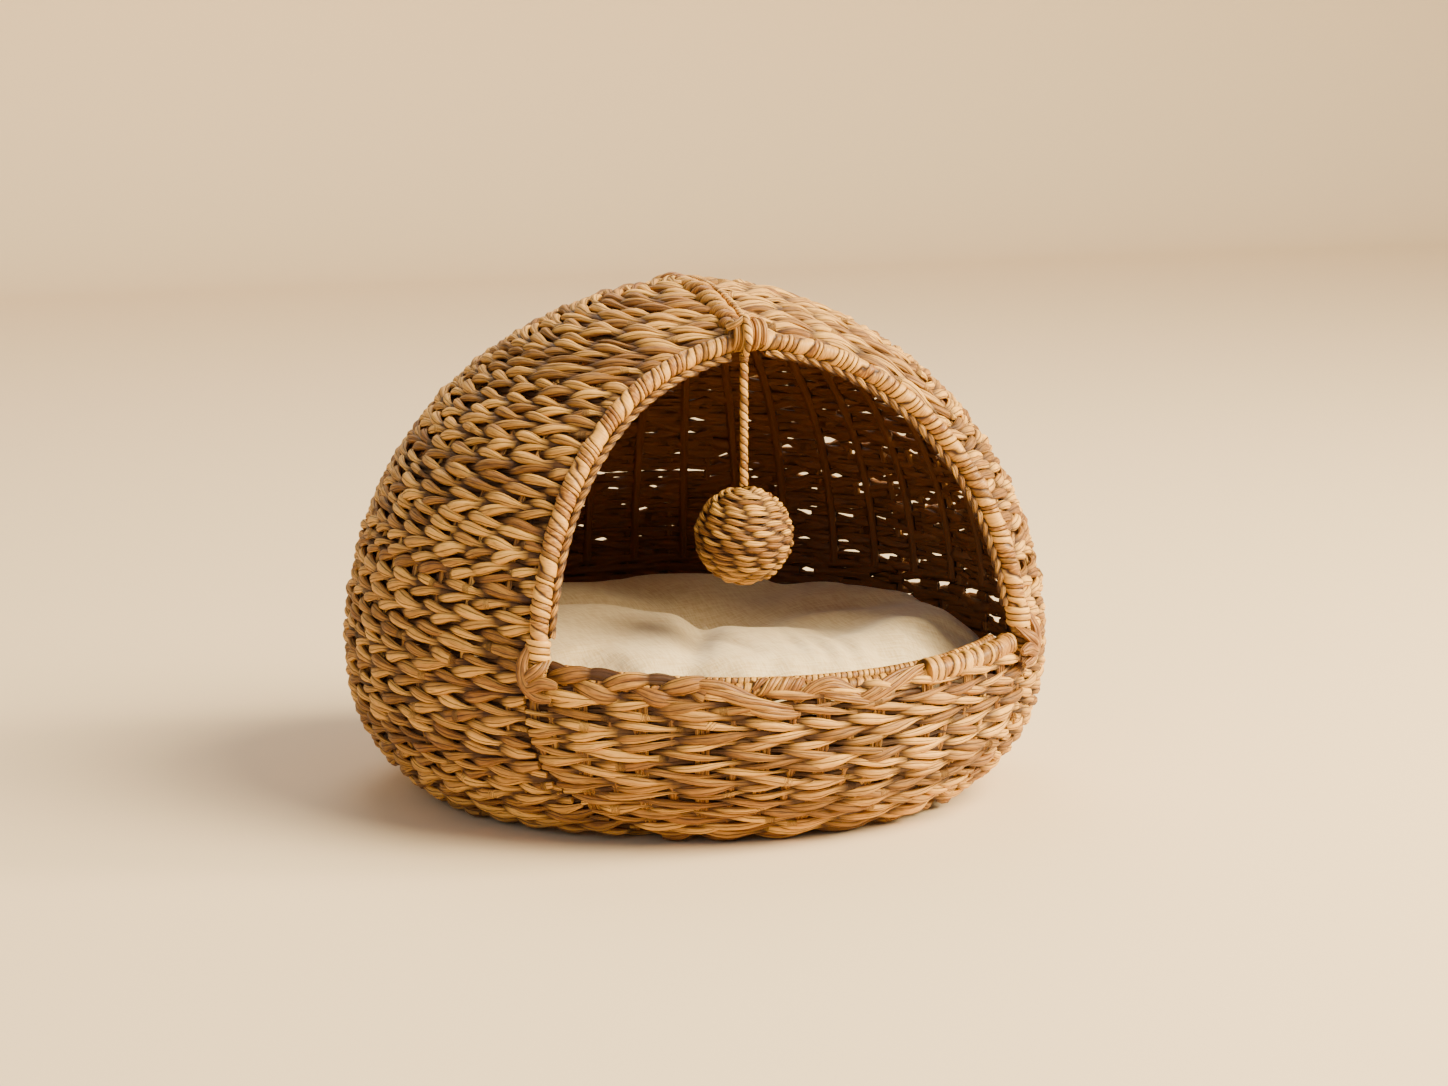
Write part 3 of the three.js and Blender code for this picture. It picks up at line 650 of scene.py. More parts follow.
class CATBED_PG_fibre(bpy.types.PropertyGroup):
    """Colours of one kind of dried fibre, and of the shade painted on it, as sRGB hex."""

    light: colour_setting("Light", "Lightest bundles", "#F3BA5C")
    shade: colour_setting("Shade", "Darker bundles", "#845528")
    aged: colour_setting("Aged", "Grey-brown, weathered bundles", "#70531F")
    gold: colour_setting("Gold", "Warm fine streaks", "#CE8C34")
    # Crease is painted shade: it darkens the grooves, the creases between strips and the crossings.
    crease: colour_setting("Crease", "Colour inside the fine grooves", "#3A1F0B")
    # Inside is painted shade: the side that faces the cavity, darkened as if little light reached
    # it.
    inside: colour_setting("Inside", "Side that faces the cavity", "#8A5628")
    greying: bpy.props.FloatProperty(
        name="Greying", description="How strongly bundles weather", default=0.5,
        min=0.0, max=1.0, subtype="FACTOR")


class CATBED_PG_weave(bpy.types.PropertyGroup):
    """Sizes of the twined walls."""

    twist_depth: length_setting("Twist depth", "How far a strand swings in and out", 3.0)
    twist_height: length_setting("Twist height", "How far a strand swings up and down", 2.2)
    strand_height: length_setting("Strand height", "Half of a bundle's thickness up the wall", 3.9)
    strand_depth: length_setting("Strand depth", "Half of a bundle's thickness through it", 3.3)
    pinch: bpy.props.FloatProperty(
        name="Pinch", description="Thickness left between two stakes", default=0.42,
        min=0.1, max=1.0, subtype="FACTOR")
    fibre: bpy.props.PointerProperty(type=CATBED_PG_fibre)


class CATBED_PG_trim(bpy.types.PropertyGroup):
    """Sizes of the wound hoop, rim and ridge."""

    hoop_band: length_setting("Hoop band", "Width of one turn of leaf round the hoop", 5.3)
    ridge_band: length_setting("Ridge band", "Width of one whip stitch of the ridge", 9.5)
    band_height: length_setting("Band height", "How far a turn stands proud", 1.15)
    fibre: bpy.props.PointerProperty(type=CATBED_PG_fibre)


class CATBED_PG_cushion(bpy.types.PropertyGroup):
    """Sizes and colours of the cushion."""

    radius: length_setting("Radius", "Cushion's reach before it meets the wall", 228)
    voxel: length_setting("Cloth grain", "Spacing of the simulated cloth's points", 6)
    pressure: bpy.props.FloatProperty(
        name="Pressure", description="Filling's pressure on the cover", default=4.0, min=0.0)
    linen: colour_setting("Linen", "Cover", "#EED7AA")
    thread: colour_setting("Thread", "Darker threads of the cover", "#CFB07C")


class CATBED_PG_stage(bpy.types.PropertyGroup):
    """Camera and floor colour."""

    azimuth: bpy.props.FloatProperty(
        name="Azimuth", description="Camera's turn round the bed", default=math.radians(-20.4),
        unit="ROTATION")
    elevation: bpy.props.FloatProperty(
        name="Elevation", description="Camera's height above the horizon",
        default=math.radians(9.1), unit="ROTATION")
    distance: length_setting("Distance", "Camera to the middle of the bed", 3008)
    floor: colour_setting("Floor", "Floor and backdrop", "#ECD5B4")


# Guide lines of the bed's parts

def hoop_points():
    """The hoop's centre line, from its left foot over the top to its right foot."""
    foot = MOUTH_FOOT - RIM_RADIUS + FIT
    low, high = MOUTH_FOOT, CROWN_HEIGHT - 1
    while high - low > 0.01:
        middle = (low + high) / 2
        if radius_at(middle, HOOP_DEPTH) > mouth_reach(middle):
            low = middle
        else:
            high = middle
    z = foot + (low - foot) * np.sin(np.linspace(0, math.pi / 2, 160))
    y = -mouth_reach(z)
    x = np.sqrt(np.maximum(radius_at(z, HOOP_DEPTH) ** 2 - y * y, 0))
    left = np.stack([-x, y, z + PEAK_RISE * np.exp(-x / PEAK_SPREAD)], axis=-1)
    right = left[::-1][1:] * np.array([-1, 1, 1])
    return evenly(np.concatenate([left, right]), 2.0)


HOOP = hoop_points()
HOOP_RUN = lengths(HOOP)
APEX = HOOP[len(HOOP) // 2]


def part_of(points, start, end, step=1.0):
    """The stretch of a line between two lengths along it."""
    along = lengths(points)
    even = np.arange(start, end, step)
    return np.stack([np.interp(even, along, points[:, i]) for i in range(3)], axis=-1)


def rim_spread():
    """Half of the angle that the front rim spans, seen from above."""
    return math.asin(math.sqrt(1 - (MOUTH_REACH / radius_at(MOUTH_FOOT, WALL / 2)) ** 2))


def rim_points(start, end, inset, lift, step=2.0):
    """A line along the front rim, from one angle to another, seen from above."""
    angle = np.linspace(start, end, 200)
    z = MOUTH_FOOT - RIM_DIP * np.maximum(1 - (angle / rim_spread()) ** 2, 0)
    r = radius_at(z, 0) - inset
    return evenly(np.stack([r * np.sin(angle), -r * np.cos(angle), z + lift], axis=-1), step)


def row_value(run, turn):
    """Which row passes a point: arch-following rows right of the ridge, level rows elsewhere."""
    front = np.linspace(0, 130, 261)
    reach = np.interp(front, RUNS, RADII) / mouth_reach(np.interp(front, RUNS, HEIGHTS))
    share = np.interp(run, RUNS, RADII) * np.cos(turn) / mouth_reach(np.interp(run, RUNS, HEIGHTS))
    beside = RIDGE_DROP + np.sign(share) * np.interp(np.abs(share), reach, front)
    return (beside + run + np.hypot(beside - run, ROW_BLEND)) / 2


def row_run(value, turn):
    """Distance down the wall at which a row passes each turn from the ridge."""
    low, high = np.zeros_like(turn), np.full_like(turn, WALL_LENGTH)
    for _ in range(24):
        middle = (low + high) / 2
        above = row_value(middle, turn) < value
        low, high = np.where(above, middle, low), np.where(above, high, middle)
    return (low + high) / 2


def shell_row(value):
    """Run and heading along one row of the dome, clear of the mouth and the ridge."""
    first = math.radians(-70) if value >= RIDGE_DROP else math.pi / 2
    turn = np.arange(first, 2 * math.pi, math.radians(0.4))
    run = np.full_like(turn, value)
    if value >= RIDGE_DROP:
        near = turn < ARCH_TURN
        run[near] = row_run(value, turn[near])
    heading = turn - math.pi / 2
    x, y, z = on_wall(run, heading, CORE_DEPTH)[0].T
    edge = np.where(z < MOUTH_FOOT, HOOP_RADIUS + 2.5, HOOP_RADIUS - 2)
    kept = y > edge - mouth_reach(z)
    ahead = y < 0
    kept &= ~((turn < 0) & (x < RIDGE_X + 1))
    kept &= ~((turn > math.pi) & ahead & (x > RIDGE_X))
    if value < RIDGE_DROP:
        kept &= ~((turn < math.pi) & (y < 2.5))
    inside = np.flatnonzero(kept)
    span = slice(inside[0], inside[-1] + 1)
    return run[span], heading[span]


def lens_of(radius):
    """Length of one crossing on a ring of this radius: a whole number of stakes goes round."""
    fitting = [count for count in STAKE_COUNTS if 2 * math.pi * radius / count >= LENS_LEAST]
    count = fitting[0] if fitting else STAKE_COUNTS[-1]
    return 2 * math.pi * radius / count


def worn(heading):
    """How open the weave is there: most on the wall's right, behind the mouth."""
    aside = math.atan2(math.sin(heading - WORN_SIDE), math.cos(heading - WORN_SIDE))
    return math.exp(-((aside / WORN_TURN) ** 2))


def light_gaps():
    """Run, heading and size of each light gap: those that the solids have, and finer ones."""
    rng = np.random.default_rng(13)
    found = []
    for number, row in enumerate(GAP_ROWS):
        run = (row + ROW_START) * PITCH
        step = GAP_SPACING / np.linalg.norm(on_wall(run, 0.0, WALL / 2)[0][:2])
        start = GAP_SECTOR[0] + (step / 2 if number % 2 else 0)
        found += [(run, heading, 0.25 + 0.35 * worn(heading))
                  for heading in np.arange(start, GAP_SECTOR[1] + 1e-6, step)]
    for line in FINE_GAP_LINES:
        run = (line / 2 + ROW_START) * PITCH
        radius = np.interp(run, RUNS, RADII)
        count = round(2 * math.pi * radius / lens_of(radius))
        for i in range(count):
            heading = math.pi / 2 + 2 * math.pi * (i + 0.5 + 0.25 * (line % 2)) / count
            if worn(heading) > 0.004 and rng.random() < 0.16 + 0.62 * worn(heading):
                size = (0.14 + 0.26 * rng.random()) * (1 + 0.8 * worn(heading))
                found.append((run, heading, size))
    return np.array(found)


def gap_squeeze(gaps, run, heading):
    """How much the light gaps thin a row near them, and how far they push the row aside."""
    near = gaps[np.abs(gaps[:, 0] - np.median(run)) < GAP_NEAR]
    if not len(near):
        return np.zeros_like(run), np.zeros_like(run)
    away = run[:, None] - near[None, :, 0]
    turn = heading[:, None] - near[None, :, 1]
    turn = np.arctan2(np.sin(turn), np.cos(turn)) * np.interp(run, RUNS, RADII)[:, None]
    wide = 2.6 + 4 * near[None, :, 2]
    push = near[None, :, 2] * np.exp(-((turn / wide) ** 2) - (away / 7) ** 2)
    return 0.4 * push.sum(axis=1).clip(0, 1), (2.5 * np.sign(away) * push).sum(axis=1)


def crowding(value, heading):
    """How much closer together than usual the arch-following rows lie, from 0."""
    turn = heading + math.pi / 2
    spacing = (row_run(value + 4, turn) - row_run(value - 4, turn)) / 8
    following = (value >= RIDGE_DROP) & (turn < ARCH_TURN)
    return np.where(following, 1 - spacing, 0).clip(0, 0.35)


def shell_squeeze(gaps, value, run, heading):
    """How a row of the dome thins and moves aside at light gaps and where rows lie close."""
    thin, push = gap_squeeze(gaps, run, heading)
    return thin + crowding(value, heading), push


def shell_strands():
    """Every strand of the dome, from its crown to its foot."""
    rng = np.random.default_rng(11)
    gaps = light_gaps()
    strands = []
    for row in range(ROWS):
        shift = rng.uniform(-0.5, 0.5)
        for offset, lay in ((PAIR_GAP / 2, 1), (PITCH - PAIR_GAP / 2, -1)):
            value = (row + ROW_START) * PITCH + offset
            if value > FOOT_EDGE:
                continue
            run, heading = shell_row(value)
            lens = lens_of(np.interp(value, RUNS, RADII)) * rng.uniform(0.9, 1.18)
            ahead = lengths(on_dome(run, heading, CORE_DEPTH)[0])
            origin = np.interp(math.pi / 2, heading, ahead) + (shift + rng.normal(0, 0.1)) * lens
            if rng.random() < 0.2:
                lay = -lay
            strands += twined_pair(on_dome, run, heading, lens, lay, rng, origin=origin,
                                   squeeze=partial(shell_squeeze, gaps, value))
    return strands


def stake_strands():
    """Upright stakes inside the wall, and the broader ribs on its inner face."""
    rng = np.random.default_rng(12)
    strands = []
    edges = [count * LENS_LEAST / (2 * math.pi) for count in STAKE_COUNTS]
    upper = int(UPPER_SHARE * len(RADII)) + 1
    tops = [np.interp(min(edge, WIDEST_RADIUS), RADII[:upper], RUNS[:upper]) for edge in edges]
    spans = list(zip(STAKE_COUNTS[:6], tops[:6], [WALL_LENGTH - 4] + tops[:5]))
    spans.append((RIBS, RIB_TOP, np.interp(-RIB_FOOT, -HEIGHTS, RUNS)))
    for number, (count, top, bottom) in enumerate(spans):
        inner = number == len(spans) - 1
        depth, thickness = (WALL - 1.6, 1.25) if inner else (CORE_DEPTH + 1.5, 0.95)
        for i in range(count):
            heading = math.pi / 2 + 2 * math.pi * i / count + rng.normal(0, 0.006)
            run = np.arange(top, bottom, 11.0)
            points, out, down = on_dome(run, np.full_like(run, heading), depth)
            y, z = points[:, 1], points[:, 2]
            kept = y > 11 - mouth_reach(z)
            if kept.sum() > 3:
                # painted shade: stakes and ribs get a darker tone, and the ribs' phase of pi gives
                # them the full painted shade of the deep layer
                tone = rng.normal(-0.4, 0.3)
                strands.append(strand(points[kept], out[kept], bulk=thickness, tone=tone,
                                      phase=math.pi if inner else 0.0))
    return strands


def lining_strands(gaps):
    """Plain rods in painted shade behind the lines between twined pairs, which leave only the light
    gaps open.
    """
    rng = np.random.default_rng(14)
    strands = []
    for line in range(20, int(2 * (WALL_LENGTH - 5) / PITCH)):
        run = (line / 2 + ROW_START) * PITCH
        height, radius = np.interp(run, RUNS, HEIGHTS), np.interp(run, RUNS, RADII)
        near = gaps[np.abs(gaps[:, 0] - run) < 1]
        for start in (-math.pi, 0):
            heading = np.arange(start, start + math.pi + 0.02, 0.025)
            points, out, down = on_wall(np.full_like(heading, run), heading, WALL - 2.2)
            turn = heading[:, None] - near[None, :, 1]
            turn = np.abs(np.arctan2(np.sin(turn), np.cos(turn))) * radius
            kept = (turn > 3 + 4 * near[None, :, 2]).all(axis=1)
            kept &= (points[:, 1] > 9 - mouth_reach(height)) | (height < MOUTH_FOOT - RIM_DIP - 8)
            stops = np.flatnonzero(np.diff(kept.astype(int))) + 1
            for stretch in np.split(np.arange(len(heading)), stops):
                if kept[stretch[0]] and len(stretch) > 2:
                    # painted shade: phase pi gives these rods the full deep shade, and their tone
                    # is darker
                    strands.append(strand(
                        points[stretch], out[stretch], phase=math.pi, tone=rng.normal(-0.3, 0.2),
                        bulk=1.0 if height < MOUTH_FOOT + 4 else 0.55))
    return strands


def panel_strands():
    """The low front wall's longer, slimmer strands between its two seams, and its stakes."""
    rng = np.random.default_rng(21)
    strands, stakes = [], []
    top, pitch, lens = np.interp(-PANEL_TOP, -HEIGHTS, RUNS), PANEL_PITCH, PANEL_LENS
    count = int((FOOT_EDGE - top) / pitch)
    for i in range(count + 1):
        value = top + i * (WALL_LENGTH - 3.5 - top) / count
        radius = np.interp(value, RUNS, RADII) - CORE_DEPTH
        half = math.acos(min((MOUTH_REACH - HOOP_RADIUS - 1.2) / radius, 1))
        if half < 0.1:
            continue
        heading = -math.pi / 2 + np.linspace(-half, half, 200)
        run = np.full_like(heading, value)
        lay = (1, -1, 1, 1, -1, -1)[i % 6]
        strands += twined_pair(on_wall, run, heading, lens * rng.uniform(0.92, 1.08), lay, rng,
                               origin=radius * half + rng.normal(0, 6), uneven=1.5, tuck=1.2)
    for i in range(-12, 13):
        for rod in (-1, 0, 1) if i % 2 == 0 else (0,):
            heading = -math.pi / 2 + (i * lens / 2 + rod * 3.4) / WIDEST_RADIUS
            run = np.arange(top - 4, FOOT_EDGE, 9.0)
            depth = CORE_DEPTH if i % 2 == 0 else CORE_DEPTH + 3
            points, out, down = on_wall(run, np.full_like(run, heading), depth)
            kept = points[:, 1] < -(MOUTH_REACH - HOOP_RADIUS)
            if kept.sum() > 3:
                bulk = 0.62 if i % 2 == 0 else 1.5
                stakes.append(strand(points[kept], out[kept], bulk=bulk, tone=rng.normal(0.1, 0.3)))
    for side in (-1, 1):
        run = np.arange(top - 6, FOOT_EDGE, 6.0)
        radius = np.interp(run, RUNS, RADII) - 9
        turn = side * np.arccos(np.minimum((MOUTH_REACH - HOOP_RADIUS - 0.5) / radius, 1))
        kept = np.abs(turn) > 0.15
        points, out, down = on_wall(run[kept], -math.pi / 2 + turn[kept], 9)
        # painted shade: the seam's stakes are toned dark so that the gap at the seam reads as shade
        stakes.append(strand(points, out, bulk=1.35, tone=-0.4))
    return strands, stakes


def on_ball(run, heading, depth):
    """Points on the toy ball, in the same terms as on the wall."""
    middle = (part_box("toy_ball")[0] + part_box("toy_ball")[1]) / 2 / MM
    polar = np.asarray(run) / TOY_BALL_RADIUS
    out = np.stack([np.sin(polar) * np.cos(heading), np.sin(polar) * np.sin(heading),
                    np.cos(polar) + 0 * heading], axis=-1)
    down = np.stack([np.cos(polar) * np.cos(heading), np.cos(polar) * np.sin(heading),
                     -np.sin(polar) + 0 * heading], axis=-1)
    return np.array(middle) + out * (TOY_BALL_RADIUS - depth), out, down


def on_floor(run, heading, depth):
    """Points on the underside of the woven floor, which is wound from its middle."""
    zero = 0 * heading
    point = np.stack([run * np.cos(heading), run * np.sin(heading), zero + depth], axis=-1)
    out = np.stack([zero, zero, zero - 1], axis=-1)
    return point, out, np.stack([np.cos(heading), np.sin(heading), zero], axis=-1)


# Pieces

LOOKS = {
    # look: the material's name, its maker, the settings that hold its colours, its own values
    # Dried water hyacinth, hand-twisted and twined: satin, streaked along each bundle, with painted
    # shade on its cavity side.
    "weave": ("Dried water hyacinth, twined", fibre_material, "cat_bed_weave",
              {"roughness": 0.56, "groove": 0.5, "inside": 0.9}),
    # Flat leaf strands of the rim and knots: smoother, with a low gloss.
    "leaf": ("Dried leaf, plaited", fibre_material, "cat_bed_trim",
             {"roughness": 0.46, "groove": 0.6, "streaks": (40, 7), "plies": 7, "darker": 0.3}),
    # Split leaf strip wound tight round a rod: low gloss, each turn its own shade of colour, and
    # shade painted into the grooves between turns.
    "wound": ("Split leaf, wound", wound_material, "cat_bed_trim",
              {"roughness": 0.42, "groove": 0.3, "lightness": 0.4}),
    # Pale split leaf of the short wraps and bands.
    "pale": ("Pale split leaf, wound", wound_material, "cat_bed_pale",
             {"roughness": 0.42, "groove": 0.2, "lightness": 0.6}),
}
TREES = {
    # kind: the tree's name, its maker, its sizes
    "strand": ("Twined Strands", strand_tree, STRAND_SIZES),
    "rod": ("Wound Rod", rod_tree, ROD_SIZES),
}
PIECES = {
    # piece: tree, look, body, slot, then its sizes in the order of STRAND_SIZES or ROD_SIZES
    "toy_cord_twine": ("rod", "wound", "toy", "twine", 2.25, 5.6, 0.6, 0.7, 20, 2),
    "hitch_knot": ("strand", "leaf", "hitch", "twine", 1.5, 1.5, 8),
    "toy_ball_weave": ("strand", "weave", "toy", "weave", 2.3, 1.7, 8, 0.5, 1.4, 1.2, 0.5),
    "dome_weave": ("strand", "weave", "bed", "weave"),
    "dome_stakes": ("strand", "weave", "bed", "weave", 2.8, 2.6, 6),
    "dome_lining": ("strand", "weave", "bed", "weave", 3.8, 1.9, 5),
    "front_weave": ("strand", "weave", "bed", "weave", 3.2, 3.1, 8, 0.32, 3.0, 2.1, 0.5),
    "front_stakes": ("strand", "leaf", "bed", "weave", 2.8, 2.8, 6),
    "floor_weave": ("strand", "weave", "bed", "weave", 4.8, 2.8, 6, 0.55, 1.6, 1.8),
    "arch_winding": ("rod", "wound", "bed", "hoop_wrap"),
    "arch_inner_twine": ("strand", "weave", "bed", "weave", 2.1, 1.8, 8, 0.6, 1.3, 1.4, 0.3),
    "corner_winding": ("rod", "pale", "bed", "light_wrap", 7.4, 4.7, 1.1, 0.7, 16, 1, 15),
    "rim_leaves": ("strand", "leaf", "bed", "hoop_wrap", 1.0, 0.7, 12, 0.6),
    "rim_core": ("rod", "wound", "bed", "hoop_wrap", 4.6, 6.0, 0.8, 1.2, 10, 1, 33),
    "rim_winding": ("rod", "wound", "bed", "hoop_wrap", 5.8, 6.6, 2.2, 0.9, 16, 2, 9, 2.0),
    "rim_band_winding": ("rod", "pale", "bed", "light_wrap", 8.6, 6.2, 1.3, 0.7, 18, 1, 21),
    "rim_rod_winding": ("rod", "wound", "bed", "hoop_wrap", 3.2, 4.2, 0.6, 0.8, 10, 1, 44),
    "ridge_winding": ("rod", "wound", "bed", "hoop_wrap"),
    "ridge_cord_winding": ("rod", "pale", "bed", "light_wrap", 1.8, 4.0, 0.5, 0.6, 10, 2, 5),
    "apex_winding": ("strand", "leaf", "bed", "light_wrap", 2.8, 2.8, 10),
    "toy_loop_twine": ("rod", "pale", "bed", "light_wrap", 2.1, 5.6, 0.6, 0.8, 14, 2),
}


def look_of(scene, look):
    """The material of a look, made the first time it is asked for."""
    name, maker, holder, values = LOOKS[look]
    if name not in bpy.data.materials:
        colours = getattr(scene, holder)
        maker(name, getattr(colours, "fibre", colours), **values)
    return bpy.data.materials[name]


def dress(scene, piece_name, strands, *replaced, tail="", given=()):
    """A piece in several parts has a tail for each, and given sizes stand for the table's.
    """
    kind, look, body, slot, *listed = PIECES[piece_name]
    tree_name, maker, sizes = TREES[kind]
    tree = bpy.data.node_groups.get(tree_name) or maker(tree_name)
    piece = guide_object(piece_name + tail, strands)
    modifier = piece.modifiers.new(tree_name, "NODES")
    modifier.node_group = tree
    values = {label: unit * number
              for (label, (unit, _)), number in zip(sizes.items(), given or listed)}
    values["Material"] = look_of(scene, look)
    for item in tree.interface.items_tree:
        if item.item_type == "SOCKET" and item.in_out == "INPUT" and item.name in values:
            modifier[item.identifier] = values[item.name]
    mesh = plain_mesh(piece)
    mesh.name = piece.name
    for key in ("out", "down", "phase", "lay", "bulk", "turn"):
        if key in mesh.attributes:
            mesh.attributes.remove(mesh.attributes[key])
    declare(piece, body, slot, *replaced)
    return piece


def ends_of(node):
    """A CAD node's lowest and highest corner, in millimetres."""
    return (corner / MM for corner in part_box(node))


# Operators

class CATBED_OT_stage(bpy.types.Operator):
    """Makes the pale floor, the soft lights and the camera"""

    bl_idname = "cat_bed.stage"
    bl_label = "Stage"
    bl_options = {"REGISTER", "UNDO"}

    # Metres: the bend of the backdrop, its distance, half its width, its height, its front.
    bend, far, wide, tall, near = 0.5, 3.4, 8.0, 4.5, -5.0
    lamps = (
        # name, place, size, watts, tint
        ("key", (1.7, -2.1, 2.6), 2.6, 300, (1.0, 0.84, 0.54)),
        ("key_right", (2.4, -1.4, 2.5), 2.6, 185, (1.0, 0.84, 0.54)),
        ("side", (3.0, -0.8, 1.5), 0.9, 125, (1.0, 0.84, 0.54)),
        ("fill", (-2.2, -2.6, 1.5), 1.6, 22, (0.96, 0.97, 1.0)),
        ("back", (0.4, 1.9, 2.7), 1.8, 40, (1.0, 0.93, 0.84)),
    )
    sky, sky_strength = (0.92, 0.95, 1.0, 1.0), 0.34

    def execute(self, context):
        scene = context.scene
        look = scene.cat_bed_stage
        self.floor(look)
        for name, place, size, watts, tint in self.lamps:
            lamp = bpy.data.lights.new(name, "AREA")
            lamp.shape, lamp.size, lamp.energy, lamp.color = "DISK", size, watts, tint
            self.aimed(new_object(name, lamp), Vector(place), Vector((0, 0, 0.18)))
        world = bpy.data.worlds.new("Soft room")
        world.use_nodes = True
        background = world.node_tree.nodes["Background"].inputs
        background[0].default_value, background[1].default_value = self.sky, self.sky_strength
        scene.world = world
        scene.camera = self.camera(look)
        return {"FINISHED"}

    def floor(self, look):
        """A floor that bends up into a backdrop."""
        arc = [(self.far + self.bend * math.sin(a), self.bend - self.bend * math.cos(a))
               for a in np.linspace(0, math.pi / 2, 24)]
        profile = [(self.near, 0.0), *arc, (self.far + self.bend, self.tall)]
        corners = [(side * self.wide, y, z) for y, z in profile for side in (-1, 1)]
        faces = [(2 * i, 2 * i + 1, 2 * i + 3, 2 * i + 2) for i in range(len(profile) - 1)]
        mesh = bpy.data.meshes.new("stage_floor")
        mesh.from_pydata(corners, [], faces)
        mesh.materials.append(plain_material("Plain plaster, matt", look.floor, 0.9, 0.2))
        mesh.shade_smooth()
        new_object("stage_floor", mesh)

    def camera(self, look):
        """Looks at the bed's middle, which stands a little left of and above the picture's."""
        lens = bpy.data.cameras.new("camera")
        lens.sensor_width, lens.lens = 36.0, 105.2
        lens.clip_start, lens.clip_end = 0.1, 40.0
        a, e = look.azimuth, look.elevation
        back = Vector((math.sin(a) * math.cos(e), -math.cos(a) * math.cos(e), math.sin(e)))
        right = Vector((math.cos(a), math.sin(a), 0))
        middle = Vector((0, 0, 0.19))
        aim = middle + right * 0.0206 - back.cross(right) * 0.0162
        return self.aimed(new_object("camera", lens), middle + back * look.distance, aim)

    def aimed(self, thing, place, aim):
        """Puts a lamp or the camera in its place and turns it to what it aims at."""
        thing.location = place
        thing.rotation_euler = (aim - thing.location).to_track_quat("-Z", "Y").to_euler()
        return thing


class CATBED_OT_toy(bpy.types.Operator):
    """Hangs the twisted cord with its hitch and the woven ball"""

    bl_idname = "cat_bed.toy"
    bl_label = "Hanging toy"
    bl_options = {"REGISTER", "UNDO"}

    cord_points = 40
    # Millimetres: the hitch's coil, and the ball's rows, their middle's depth and crossings.
    coil_radius, coil_height, coil_turns = 1.9, 4.2, 2.6
    row_pitch, row_depth, crossing = 5.3, 3.1, 15.5
    # How far inside the ball's surface the dark sphere of painted shade lies.
    shade_core_depth = 4.6

    def execute(self, context):
        scene = context.scene
        low, high = ends_of("toy_cord")
        x, y = (low.x + high.x) / 2, (low.y + high.y) / 2
        count = self.cord_points
        line = np.stack([np.full(count, x), np.full(count, y),
                         np.linspace(high.z, low.z, count)], axis=-1)
        cord = dress(scene, "toy_cord_twine", [strand(line, FORWARD)], "toy_cord")
        self.hitch(scene, x, y)
        dress(scene, "toy_ball_weave", self.ball_rows(), "toy_ball")
        self.shade_core(scene)
        return {"FINISHED"}

    def hitch(self, scene, x, y):
        """A small coil that the cord turns in."""
        low, high = ends_of("hitch")
        t = np.linspace(0, 1, 90)
        turn = 2 * math.pi * self.coil_turns * t
        z = (low.z + high.z) / 2 + self.coil_height * (t - 0.5)
        out = np.stack([np.cos(turn), np.sin(turn), 0 * t], axis=-1)
        coil = np.stack([x + self.coil_radius * out[:, 0], y + self.coil_radius * out[:, 1], z],
                        axis=-1)
        dress(scene, "hitch_knot", [strand(coil, out)], "hitch")

    def ball_rows(self):
        """Twined rows round the ball, which climb on one side of a line that runs down it."""
        rng = np.random.default_rng(31)
        strands = []
        for i in range(1, int(math.pi * TOY_BALL_RADIUS / self.row_pitch)):
            value = i * self.row_pitch
            bulge = math.sin(value / TOY_BALL_RADIUS)
            radius = TOY_BALL_RADIUS * bulge
            if radius < 2:
                continue
            count = max(round(2 * math.pi * radius / self.crossing), 2)
            heading = np.linspace(0, 2 * math.pi, 200) + math.pi / 2
            ahead = np.mod(heading + 1.85, 2 * math.pi)
            climb = np.clip(ahead / 1.2, 0, 1) * np.clip((4.2 - ahead) / 2, 0, 1)
            run = value + self.row_pitch * np.linspace(0, 1, 200) - 7 * bulge * climb
            lens = 2 * math.pi * radius / count
            strands += twined_pair(on_ball, run, heading, lens, 1, rng, core=self.row_depth,
                                   origin=rng.uniform(0, lens), uneven=0.5, tuck=0.3)
        return strands

    def shade_core(self, scene):
        """A dark sphere inside the ball, seen only between its rows: painted shade for the ball's
        inside.
        """
        made = bmesh.new()
        radius = (TOY_BALL_RADIUS - self.shade_core_depth) * MM
        bmesh.ops.create_icosphere(made, subdivisions=4, radius=radius)
        middle = (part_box("toy_ball")[0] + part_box("toy_ball")[1]) / 2
        bmesh.ops.translate(made, verts=made.verts, vec=middle)
        mesh = bpy.data.meshes.new("toy_ball_core")
        made.to_mesh(mesh)
        made.free()
        mesh.shade_smooth()
        tint = scene.cat_bed_weave.fibre.crease
        mesh.materials.append(plain_material("Packed leaf scraps", tint, 0.9, 0.5))
        declare(new_object("toy_ball_core", mesh), "toy", "weave")


class CATBED_OT_shell(bpy.types.Operator):
    """Twines the dome's wall round its stakes"""

    bl_idname = "cat_bed.shell"
    bl_label = "Dome"
    bl_options = {"REGISTER", "UNDO"}

    head, sides, bands = 0.6, 8, 4

    def execute(self, context):
        scene = context.scene
        size = scene.cat_bed_weave
        given = (size.strand_height / MM, size.strand_depth / MM, self.sides, size.pinch,
                 size.twist_depth / MM, size.twist_height / MM, self.head)
        strands = shell_strands()
        total = sum(len(one["point"]) for one in strands)
        bands, held = [[]], 0
        for one in strands:
            if held > total * len(bands) / self.bands:
                bands.append([])
            bands[-1].append(one)
            held += len(one["point"])
        for number, band in enumerate(bands, 1):
            dress(scene, "dome_weave", band, "shell", tail=f"_{number}", given=given)
        dress(scene, "dome_stakes", stake_strands())
        dress(scene, "dome_lining", lining_strands(light_gaps()))
        return {"FINISHED"}


